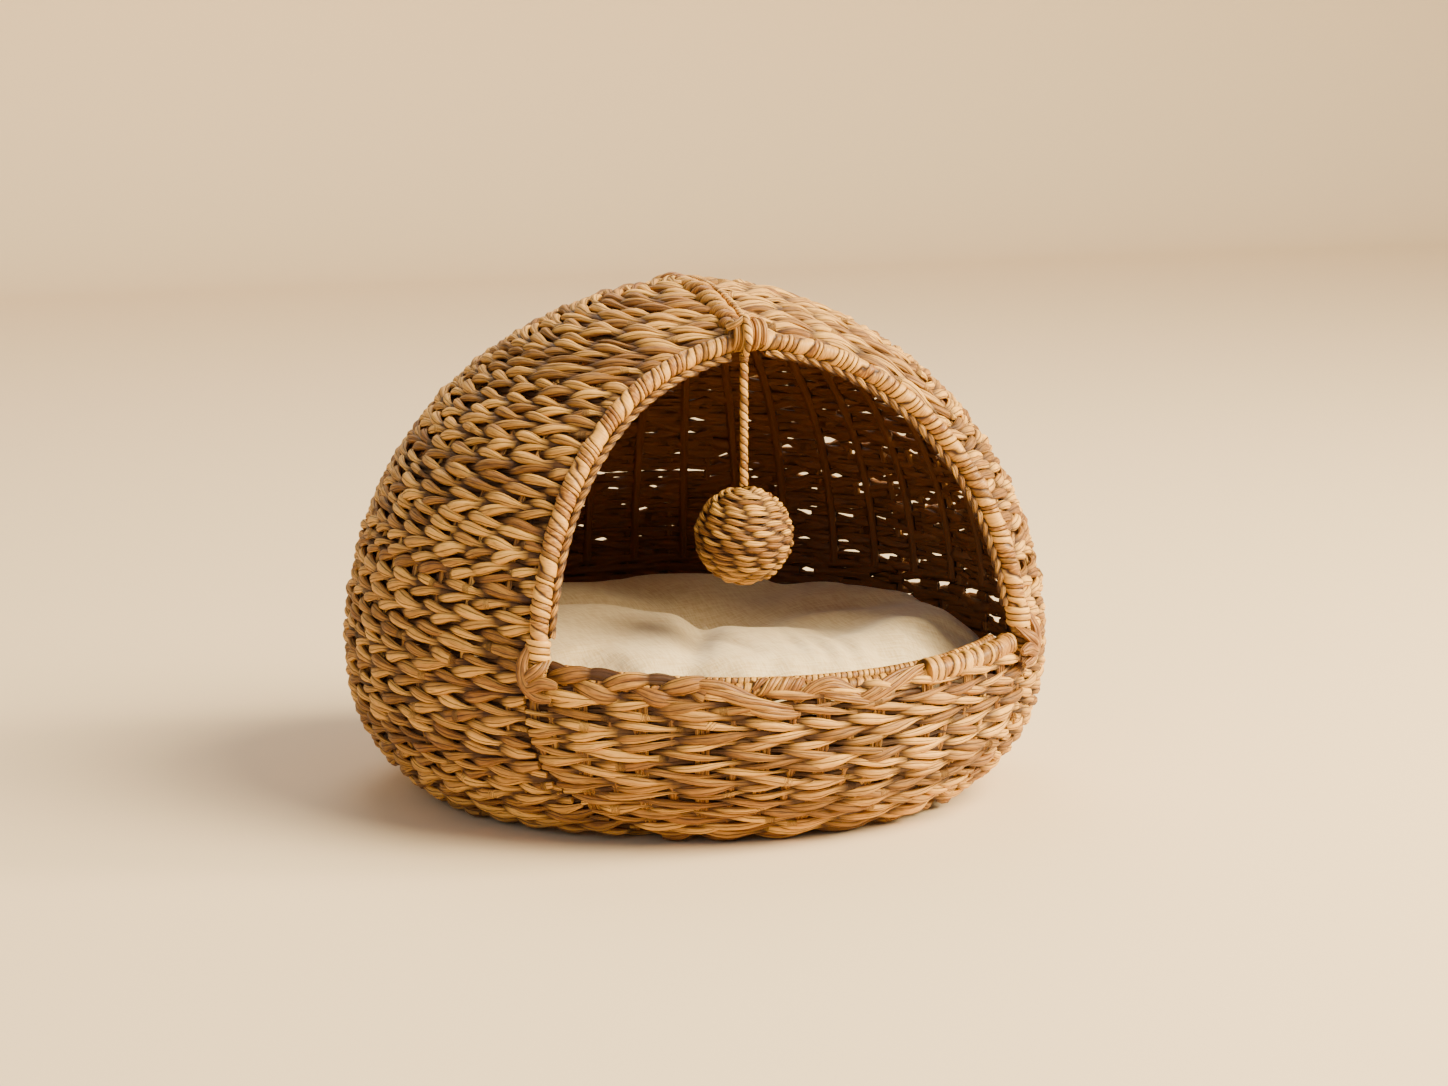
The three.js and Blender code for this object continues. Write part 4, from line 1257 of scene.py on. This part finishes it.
class CATBED_OT_front(bpy.types.Operator):
    """Weaves the low front wall and the floor"""

    bl_idname = "cat_bed.front"
    bl_label = "Front wall and floor"
    bl_options = {"REGISTER", "UNDO"}

    # Millimetres: the floor's rows, their crossings, and its smallest ring.
    row_pitch, crossing, smallest = 9.0, 34, 6

    def execute(self, context):
        scene = context.scene
        strands, stakes = panel_strands()
        dress(scene, "front_weave", strands, "front_panel")
        dress(scene, "front_stakes", stakes)
        dress(scene, "floor_weave", self.floor_rows(), "base")
        return {"FINISHED"}

    def floor_rows(self):
        """Rings of twined strands from the floor's edge to its middle."""
        rng = np.random.default_rng(41)
        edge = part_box("base")[1].x / MM
        rows = []
        for i in range(int(edge / self.row_pitch)):
            value = edge - self.row_pitch / 2 - i * self.row_pitch
            if value < self.smallest:
                break
            heading = np.linspace(0, 2 * math.pi, 240) + 0.7 * i
            lens = 2 * math.pi * value / max(round(2 * math.pi * value / self.crossing), 3)
            rows += twined_pair(on_floor, np.full_like(heading, value), heading, lens,
                                1 if i % 2 else -1, rng, core=FLOOR_TOP / 2, uneven=0.5, tuck=0.5)
        return rows


class CATBED_OT_arch(bpy.types.Operator):
    """Winds the hoop round the mouth, its inner rows and the wraps at its feet"""

    bl_idname = "cat_bed.arch"
    bl_label = "Arch"
    bl_options = {"REGISTER", "UNDO"}

    def execute(self, context):
        scene = context.scene
        size = scene.cat_bed_trim
        band, total = size.hoop_band / MM, HOOP_RUN[-1]
        wobble = drift(np.random.default_rng(51), len(HOOP), 4, 0.035)
        dress(scene, "arch_winding", [strand(HOOP, FORWARD, bulk=1 + wobble)], "arch_hoop",
              given=(5.5, band, size.band_height / MM, band / 9, 16, 2, 3, 2.6))
        start = MOUTH_FOOT + RIM_RADIUS + 2 - HOOP[0][2]
        wrapped = start + WRAP_LENGTH + 1
        knot = total / 2 + RIDGE_X + 2
        for side, low, high in (("left", wrapped, knot - KNOT_LENGTH / 2),
                                ("right", knot + KNOT_LENGTH / 2, total - wrapped)):
            dress(scene, "arch_inner_twine", self.inner_row(low, high), f"arch_inner_row_{side}",
                  tail=f"_{side}")
        for side, low in (("left", start), ("right", total - start - WRAP_LENGTH)):
            line = part_of(HOOP, low, low + WRAP_LENGTH)
            dress(scene, "corner_winding", [strand(line, FORWARD)], f"corner_wrap_{side}",
                  tail=f"_{side}")
        return {"FINISHED"}

    def inner_row(self, low, high):
        """A thin twisted row that lies against the hoop's inner side."""
        line = part_of(HOOP, low, high, 2.0)
        lean = MOUTH_SLOPE + 2 * MOUTH_BEND * (line[:, 2] - MOUTH_FOOT)
        forward = unit(np.stack([0 * lean, 0 * lean - 1, lean], axis=-1))
        inward = -unit(np.cross(forward, tangents(line)))
        line = line + inward * (HOOP_RADIUS + INNER_ROW_RADIUS - FIT)
        row = twisted(line, forward, 9.0, 1, np.random.default_rng(52))
        for one in row:
            # painted shade: the row's tone is lowered so that it reads as lying in the hoop's shade
            one["tone"] -= 0.6
        return row


class CATBED_OT_rim(bpy.types.Operator):
    """Plaits the front rim, its bands and the rod behind it"""

    bl_idname = "cat_bed.rim"
    bl_label = "Front rim"
    bl_options = {"REGISTER", "UNDO"}

    bundles = (
        # half thickness, then degrees right of the middle and lift at each step
        (6.6, ((-22, 5), (-16.5, 0), (-12, -8), (-8, -14), (-4, -17))),
        (4.8, ((-5, -9), (-1.5, 1), (1, 2.5), (3.5, -2), (7, -12))),
        (4.0, ((-2, -2), (1.5, -5), (5, -9), (9, -15))),
        (6.2, ((4.5, -12), (8, -8), (11.5, -2.5), (15.5, 2), (18.5, 3))),
    )
    ties = (
        # steps from the hoop's foot: up, outwards and along the rim
        ((27, 4, -4), (16, 8.5, -6.5), (4, 10, -4), (-5, 9, 4), (-7, 8, 14)),
        ((19, -1, 7), (13, 7, 5), (8, 10, -1), (4, 8, -8)),
        ((3, 9, -7), (1, 10.5, 0), (4, 9.5, 9), (3, 8, 19)),
    )
    # Degrees right of the middle: where the plait ends, the coil, and where the winding starts.
    plait_end, coil_start, coil_end, winding_start = -19, -11.5, -2.5, 20
    # Half of the light band's length, and how far the rod lies behind the rim.
    band_reach, rod_inset = 6.2, 13.2

    def execute(self, context):
        scene = context.scene
        end = rim_spread() - (HOOP_RADIUS + RIM_RADIUS / 2) / WIDEST_RADIUS
        inset = RIM_RADIUS + FIT
        leaves = self.plait(-end - 5 / WIDEST_RADIUS, math.radians(self.plait_end), inset)
        for size, steps in self.bundles:
            leaves += self.bundle(steps, inset, size)
        leaves += self.coil(inset + 0.5)
        leaves += self.corner(-1) + self.corner(1)
        dress(scene, "rim_leaves", leaves, "rim_plait")
        low, high = ends_of("rim_band")
        middle = math.atan2((low.x + high.x) / 2, -(low.y + high.y) / 2)
        half = self.band_reach / WIDEST_RADIUS
        rods = (
            # piece, start, end, inset, lift, step, the solids it replaces
            ("rim_core", -end, end, inset + 1.5, -1.5, 2.0, ()),
            ("rim_winding", math.radians(self.winding_start), end, inset, 0, 2.0, ()),
            ("rim_band_winding", middle - half, middle + half, inset, 0, 0.8, ("rim_band",)),
            ("rim_rod_winding", -end, end, inset + self.rod_inset, 2, 2.0, ("rim_rod",)),
        )
        for piece, first, last, depth, lift, step, replaced in rods:
            line = rim_points(first, last, depth, lift, step)
            dress(scene, piece, [strand(line, UP)], *replaced)
        return {"FINISHED"}

    def plait(self, start, end, inset):
        """A flat plait of three leaf bundles, each on top for half of the time."""
        line = rim_points(start, end, inset - 1.5, -2, 1.5)
        along = lengths(line)
        out = unit(line * LEVEL)
        rng = np.random.default_rng(61)
        strands = []
        for i in range(3):
            turn = 2 * math.pi * (along / 118 + i / 3)
            place = (line + UP * (6.8 * np.sin(turn))[:, None]
                     + out * (2.8 * np.sin(2 * turn))[:, None])
            size = 6.0 * (1 + drift(rng, len(line), 12, 0.06))
            strands.append(strand(place, out, phase=2 * turn - math.pi / 2, bulk=size,
                                  tone=0.3 * i - 0.2))
        return strands

    def bundle(self, steps, inset, size):
        """A thick strand of three leaves that climbs or dips along the rim."""
        angles, lifts = np.radians([step[0] for step in steps]), [step[1] for step in steps]
        line = rim_points(angles[0], angles[-1], inset, 0, 1.5)
        along = lengths(line)
        share = along / along[-1]
        out = unit(line * LEVEL)
        turns = np.arctan2(line[:, 0], -line[:, 1])
        path = rounded(np.stack([angles * WIDEST_RADIUS, lifts, 0 * angles], axis=-1))
        lift = np.interp(turns * WIDEST_RADIUS, path[:, 0], path[:, 1])
        fat = np.sin(math.pi * np.clip(share, 0.02, 0.98)) ** 0.35
        proud = 4 + 2.5 * np.clip(-lift / 12, 0, 1)
        strands = []
        for i in range(3):
            turn = 2 * math.pi * (along / 110 + i / 3)
            place = (line + UP * (lift + 0.42 * size * np.sin(turn))[:, None]
                     + out * (0.3 * size * np.cos(turn) + proud * fat)[:, None])
            strands.append(strand(place, out, bulk=0.66 * size * fat, tone=0.35 * i - 0.3))
        return strands

    def corner(self, side):
        """Strands that tie the hoop's foot to the rim's end."""
        foot = HOOP[0] if side < 0 else HOOP[-1]
        out = unit(foot * LEVEL)
        ahead = -side * np.array([-out[1], out[0], 0])
        strands = []
        for steps in self.ties:
            line = rounded([foot + a * UP + b * out + c * ahead for a, b, c in steps], 1.2)
            fat = np.sin(math.pi * np.linspace(0.04, 0.96, len(line))) ** 0.4
            strands.append(strand(line, out, bulk=4.8 * fat, tone=0.2))
        return strands

    def coil(self, inset):
        """A short stretch of thick leaf rope round the rim."""
        start, end = math.radians(self.coil_start), math.radians(self.coil_end)
        line = rim_points(start, end, inset, 0.5, 0.6)
        out = unit(line * LEVEL)
        share = np.linspace(0, 1, len(line))
        fat = np.sin(math.pi * np.clip(share, 0.03, 0.97)) ** 0.4
        strands = []
        for i in range(3):
            turn = 2 * math.pi * (lengths(line) / 27 + i / 3)
            around = out * np.cos(turn)[:, None] + UP * np.sin(turn)[:, None]
            strands.append(strand(line + around * 4.6, around, bulk=4.2 * fat, tone=0.3 * i - 0.2))
        return strands


class CATBED_OT_ridge(bpy.types.Operator):
    """Lays the whip-stitched ridge with its cord, and ties the knot at the arch's top"""

    bl_idname = "cat_bed.ridge"
    bl_label = "Ridge and knot"
    bl_options = {"REGISTER", "UNDO"}

    heel = (
        # steps from the knot's middle: right, back and up
        (-14, -4, 6), (-9, -8, 9), (-3, -6, 12.2), (4, 1, 12.6), (11, 6, 9), (14, 8, 4),
    )
    # The knot's turns, and how far its strand's middle and the loop lie from its surface.
    turns, knot_inset, loop_outset = 4.5, 3.2, 2.4

    def execute(self, context):
        scene = context.scene
        apex_run = np.interp(-APEX[2], -HEIGHTS, RUNS)
        start = -(apex_run - KNOT_RADIUS - 1)
        line = self.over_crown(start, RIDGE_END, RIDGE_X, -2.5)
        ends = np.minimum(lengths(line), lengths(line)[-1] - lengths(line))
        ridge = strand(line, SIDEWAYS, bulk=0.72 + 0.28 * (1 - np.exp(-ends / 5)))
        band = scene.cat_bed_trim.ridge_band / MM
        dress(scene, "ridge_winding", [ridge], "ridge_rope",
              given=(4.6, band, 3.4, 0.8, 24, 3, 27, 1.0))
        side = RIDGE_X + RIDGE_RADIUS + 2.2
        cord = self.over_crown(start, RIDGE_END - 4, side, 1.8)
        dress(scene, "ridge_cord_winding", [strand(cord, SIDEWAYS)], "ridge_cord")
        dress(scene, "apex_winding", self.knot(), "apex_knot")
        dress(scene, "toy_loop_twine", [strand(self.loop(), SIDEWAYS)], "toy_loop")
        return {"FINISHED"}

    def over_crown(self, start, end, x, lift):
        """A line over the top of the dome, from the mouth to the back."""
        run = np.linspace(start, end, 90)
        point = on_wall(np.abs(run), np.where(run < 0, -math.pi / 2, math.pi / 2), -lift)[0]
        point[:, 0] = x
        return evenly(point, 1.5)

    def knot(self):
        """Turns of pale leaf round the hoop and the ridge's end, with a strand over them."""
        middle = APEX + np.array([RIDGE_X + 2 - APEX[0], 0, KNOT_RISE])
        t = np.linspace(0, 1, 420)
        turn = 2 * math.pi * self.turns * t + 0.6
        reach = KNOT_RADIUS - self.knot_inset
        x = middle[0] - KNOT_LENGTH / 2 + 3.4 + (KNOT_LENGTH - 6.8) * t + 1.4 * np.sin(turn)
        out = np.stack([0 * t, np.cos(turn), np.sin(turn)], axis=-1)
        coil = np.stack([x, middle[1] + reach * out[:, 1], middle[2] + reach * out[:, 2]], axis=-1)
        line = rounded(middle + np.array(self.heel))
        return [strand(coil, out, tone=0.4),
                strand(line, unit(line - middle), bulk=0.9, tone=0.7)]

    def loop(self):
        """Over the front of the knot, from the hitch to the ridge."""
        low, high = ends_of("toy_loop")
        angle = np.radians(np.linspace(118, 236, 50))
        reach = KNOT_RADIUS + self.loop_outset
        return np.stack([np.full(50, (low.x + high.x) / 2), APEX[1] + reach * np.cos(angle),
                         APEX[2] + KNOT_RISE + reach * np.sin(angle)], axis=-1)


class CATBED_OT_cushion(bpy.types.Operator):
    """Fills, tufts and creases the round cushion"""

    bl_idname = "cat_bed.cushion"
    bl_label = "Cushion"
    bl_options = {"REGISTER", "UNDO"}

    # Heights of its top, its widest line and its underside.
    top, waist, under = 104, 66, FLOOR_TOP + FIT
    tuft = {"x": 14, "y": 18, "depth": 15, "reach": 44}
    creases = (
        # angle, depth, width, how far it runs
        (-113, 11, 13, 200), (-50, 12, 26, 140), (-8, 9, 26, 190), (40, 10, 32, 125),
        (102, 9, 28, 155), (146, 10, 22, 170),
    )
    wrinkles = (
        # middle's x and y, angle, half length
        (38, -140, -98, 55), (56, -140, -98, 50), (-16, -118, -86, 34), (24, -125, -100, 40),
    )
    lobes = (
        # middle's x and y, height, reach
        (70, -95, -6, 24), (116, -105, 8, 30), (-115, -50, 3, 55), (24, -52, -3, 22),
        (188, 0, 5, 40), (-70, 0, 7, 42), (-22, -30, 5, 24),
    )
    # How much the filling lifts the top, how far it may move the cover, and a wrinkle's size.
    crown, most, wrinkle_depth, wrinkle_width = 13, 9 * MM, 3.4, 6
    frames = 20

    def execute(self, context):
        scene = context.scene
        size = scene.cat_bed_cushion
        piece = self.pad(size)
        self.fill(scene, piece, size)
        finer = piece.modifiers.new("Smooth", "SUBSURF")
        finer.levels = finer.render_levels = 1
        plain_mesh(piece)
        self.sew(piece.data)
        piece.data.materials.clear()
        piece.data.materials.append(self.linen(size))
        piece.data.shade_smooth()
        declare(piece, "bed", "linen", "cushion")
        return {"FINISHED"}

    def pad(self, size):
        """The cover before it is filled: a round pad a little smaller than its space."""
        made = bmesh.new()
        bmesh.ops.create_uvsphere(made, u_segments=96, v_segments=40, radius=1.0)
        radius = size.radius / MM - 6
        for v in made.verts:
            share = min(math.hypot(v.co.x, v.co.y), 1.0)
            heading = math.atan2(v.co.y, v.co.x)
            power = 5 if v.co.z > 0 else 4
            reach = self.top - self.waist if v.co.z > 0 else self.under + 4 - self.waist
            z = self.waist + reach * (1 - share**power) ** (1 / power)
            r = min(radius * share, radius_at(z, WALL) - 9)
            v.co = Vector((r * math.cos(heading), r * math.sin(heading), z)) * MM
        mesh = bpy.data.meshes.new("cushion_cover")
        made.to_mesh(mesh)
        made.free()
        piece = new_object("cushion_cover", mesh)
        remesh = piece.modifiers.new("Grain", "REMESH")
        remesh.mode, remesh.voxel_size = "VOXEL", size.voxel
        plain_mesh(piece)
        return piece

    def fill(self, scene, piece, size):
        """Cloth under pressure, capped so that the cover stays in its space."""
        count = len(piece.data.vertices)
        before = np.empty(count * 3, np.float32)
        piece.data.vertices.foreach_get("co", before)
        cloth = piece.modifiers.new("Cloth", "CLOTH")
        cloth.settings.use_pressure = True
        cloth.settings.uniform_pressure_force = size.pressure
        cloth.settings.effector_weights.gravity = 0.0
        cloth.settings.quality = 5
        cloth.point_cache.frame_start, cloth.point_cache.frame_end = 1, self.frames
        for number in range(1, self.frames + 1):
            scene.frame_set(number)
        plain_mesh(piece)
        scene.frame_set(1)
        after = np.empty(count * 3, np.float32)
        piece.data.vertices.foreach_get("co", after)
        before, after = before.reshape(-1, 3), after.reshape(-1, 3)
        move = after - before
        far = np.linalg.norm(move, axis=1, keepdims=True)
        move *= np.minimum(1, self.most / np.maximum(far, 1e-9))
        piece.data.vertices.foreach_set("co", (before + move).ravel())

    def sew(self, mesh):
        """Pulls in the tuft and the creases that run out from it, and adds soft wrinkles."""
        co = np.empty(len(mesh.vertices) * 3, np.float32)
        mesh.vertices.foreach_get("co", co)
        co = co.reshape(-1, 3).astype(float) / MM
        x, y, z = co.T
        on_top = np.clip((z - self.waist) / (self.top - self.waist), 0, 1) ** 0.7
        z = z + self.puff(x, y) * on_top
        z = np.maximum(z, self.under + 0.3)
        r = np.hypot(x, y)
        limit = radius_at(z, WALL) - 2.5
        pull = np.minimum(1, limit / np.maximum(r, 1e-6))
        co = np.stack([x * pull, y * pull, z], axis=-1) * MM
        mesh.vertices.foreach_set("co", co.astype(np.float32).ravel())
        mesh.update()

    def puff(self, x, y):
        """How far the top stands above the plain pad, in millimetres."""
        dx, dy = x - self.tuft["x"], y - self.tuft["y"]
        away = np.hypot(dx, dy)
        heading = np.arctan2(dy, dx)
        height = self.crown - self.tuft["depth"] * np.exp(-((away / self.tuft["reach"]) ** 1.6))
        for angle, depth, width, run in self.creases:
            apart = heading - math.radians(angle)
            apart = np.abs(np.arctan2(np.sin(apart), np.cos(apart)))
            aside = np.where(apart < math.pi / 2, away * np.sin(apart), away)
            held = (1 - np.exp(-away / 40)) * np.exp(-((away / run) ** 4))
            height = height - depth * held * np.exp(-((aside / width) ** 2))
        for middle_x, middle_y, angle, reach in self.wrinkles:
            turn = math.radians(angle)
            across = (x - middle_x) * math.sin(turn) - (y - middle_y) * math.cos(turn)
            length = (x - middle_x) * math.cos(turn) + (y - middle_y) * math.sin(turn)
            height = (height - self.wrinkle_depth
                      * np.exp(-((across / self.wrinkle_width) ** 2) - (length / reach) ** 2))
        for middle_x, middle_y, rise, reach in self.lobes:
            apart = np.hypot(x - middle_x, y - middle_y)
            height = height + rise * np.exp(-((apart / reach) ** 2))
        return height

    def linen(self, size):
        """Plain-woven linen, washed: matt, slubby threads both ways, a soft nap."""
        material, add = new_material("Washed linen, plain-woven")
        place = add("place")
        # A thread is 0.7 mm; it is drawn 1.3 mm wide so that it shows in the render.
        slub, thread, nap = 1 / (18 * MM), 1 / (1.3 * MM), 1 / (4 * MM)
        threads = [add("noise", add("fitted", place, scale), 1.0, 1.5)
                   for scale in ((slub, thread, nap), (thread, slub, nap))]
        woven = add("ADD", *threads)
        cloud = add("noise", place, 1 / (50 * MM), 3.0)
        base = layered(add, colour(size.linen), (
            # value, its bounds, how much is covered at each, colour
            (woven, 0.75, 1.2, 0.75, 0.0, size.thread),
            (cloud, 0.3, 0.7, 0.25, 0.0, size.thread),
        ))
        bump = add("bump", 0.45, 0.6 * MM, woven)
        add("material output", add("surface", base, 0.92, 0.15, bump, 0.25, 0.5))
        return material


class CATBED_PT_steps(bpy.types.Panel):
    """Lists the steps that build the bed."""

    bl_idname = "CATBED_PT_steps"
    bl_label = "Cat Bed"
    bl_space_type = "VIEW_3D"
    bl_region_type = "UI"
    bl_category = "Cat Bed"

    def draw(self, context):
        for step in STEPS:
            self.layout.operator(step.bl_idname)


STEPS = (
    CATBED_OT_stage, CATBED_OT_toy, CATBED_OT_shell, CATBED_OT_front, CATBED_OT_arch,
    CATBED_OT_rim, CATBED_OT_ridge, CATBED_OT_cushion,
)
GROUPS = (CATBED_PG_fibre, CATBED_PG_weave, CATBED_PG_trim, CATBED_PG_cushion, CATBED_PG_stage)
HOLDERS = {
    "cat_bed_weave": CATBED_PG_weave, "cat_bed_trim": CATBED_PG_trim,
    "cat_bed_pale": CATBED_PG_fibre, "cat_bed_cushion": CATBED_PG_cushion,
    "cat_bed_stage": CATBED_PG_stage,
}


def register():
    """Adds the classes and the scene's settings."""
    for kind in (*GROUPS, *STEPS, CATBED_PT_steps):
        bpy.utils.register_class(kind)
    for name, kind in HOLDERS.items():
        setattr(bpy.types.Scene, name, bpy.props.PointerProperty(type=kind))


def unregister():
    """Takes the settings and classes away again, last first."""
    for name in HOLDERS:
        delattr(bpy.types.Scene, name)
    for kind in reversed((*GROUPS, *STEPS, CATBED_PT_steps)):
        bpy.utils.unregister_class(kind)


def main():
    register()
    for step in STEPS:
        getattr(bpy.ops.cat_bed, step.bl_idname.partition(".")[2])()


if __name__ == "__main__":
    main()
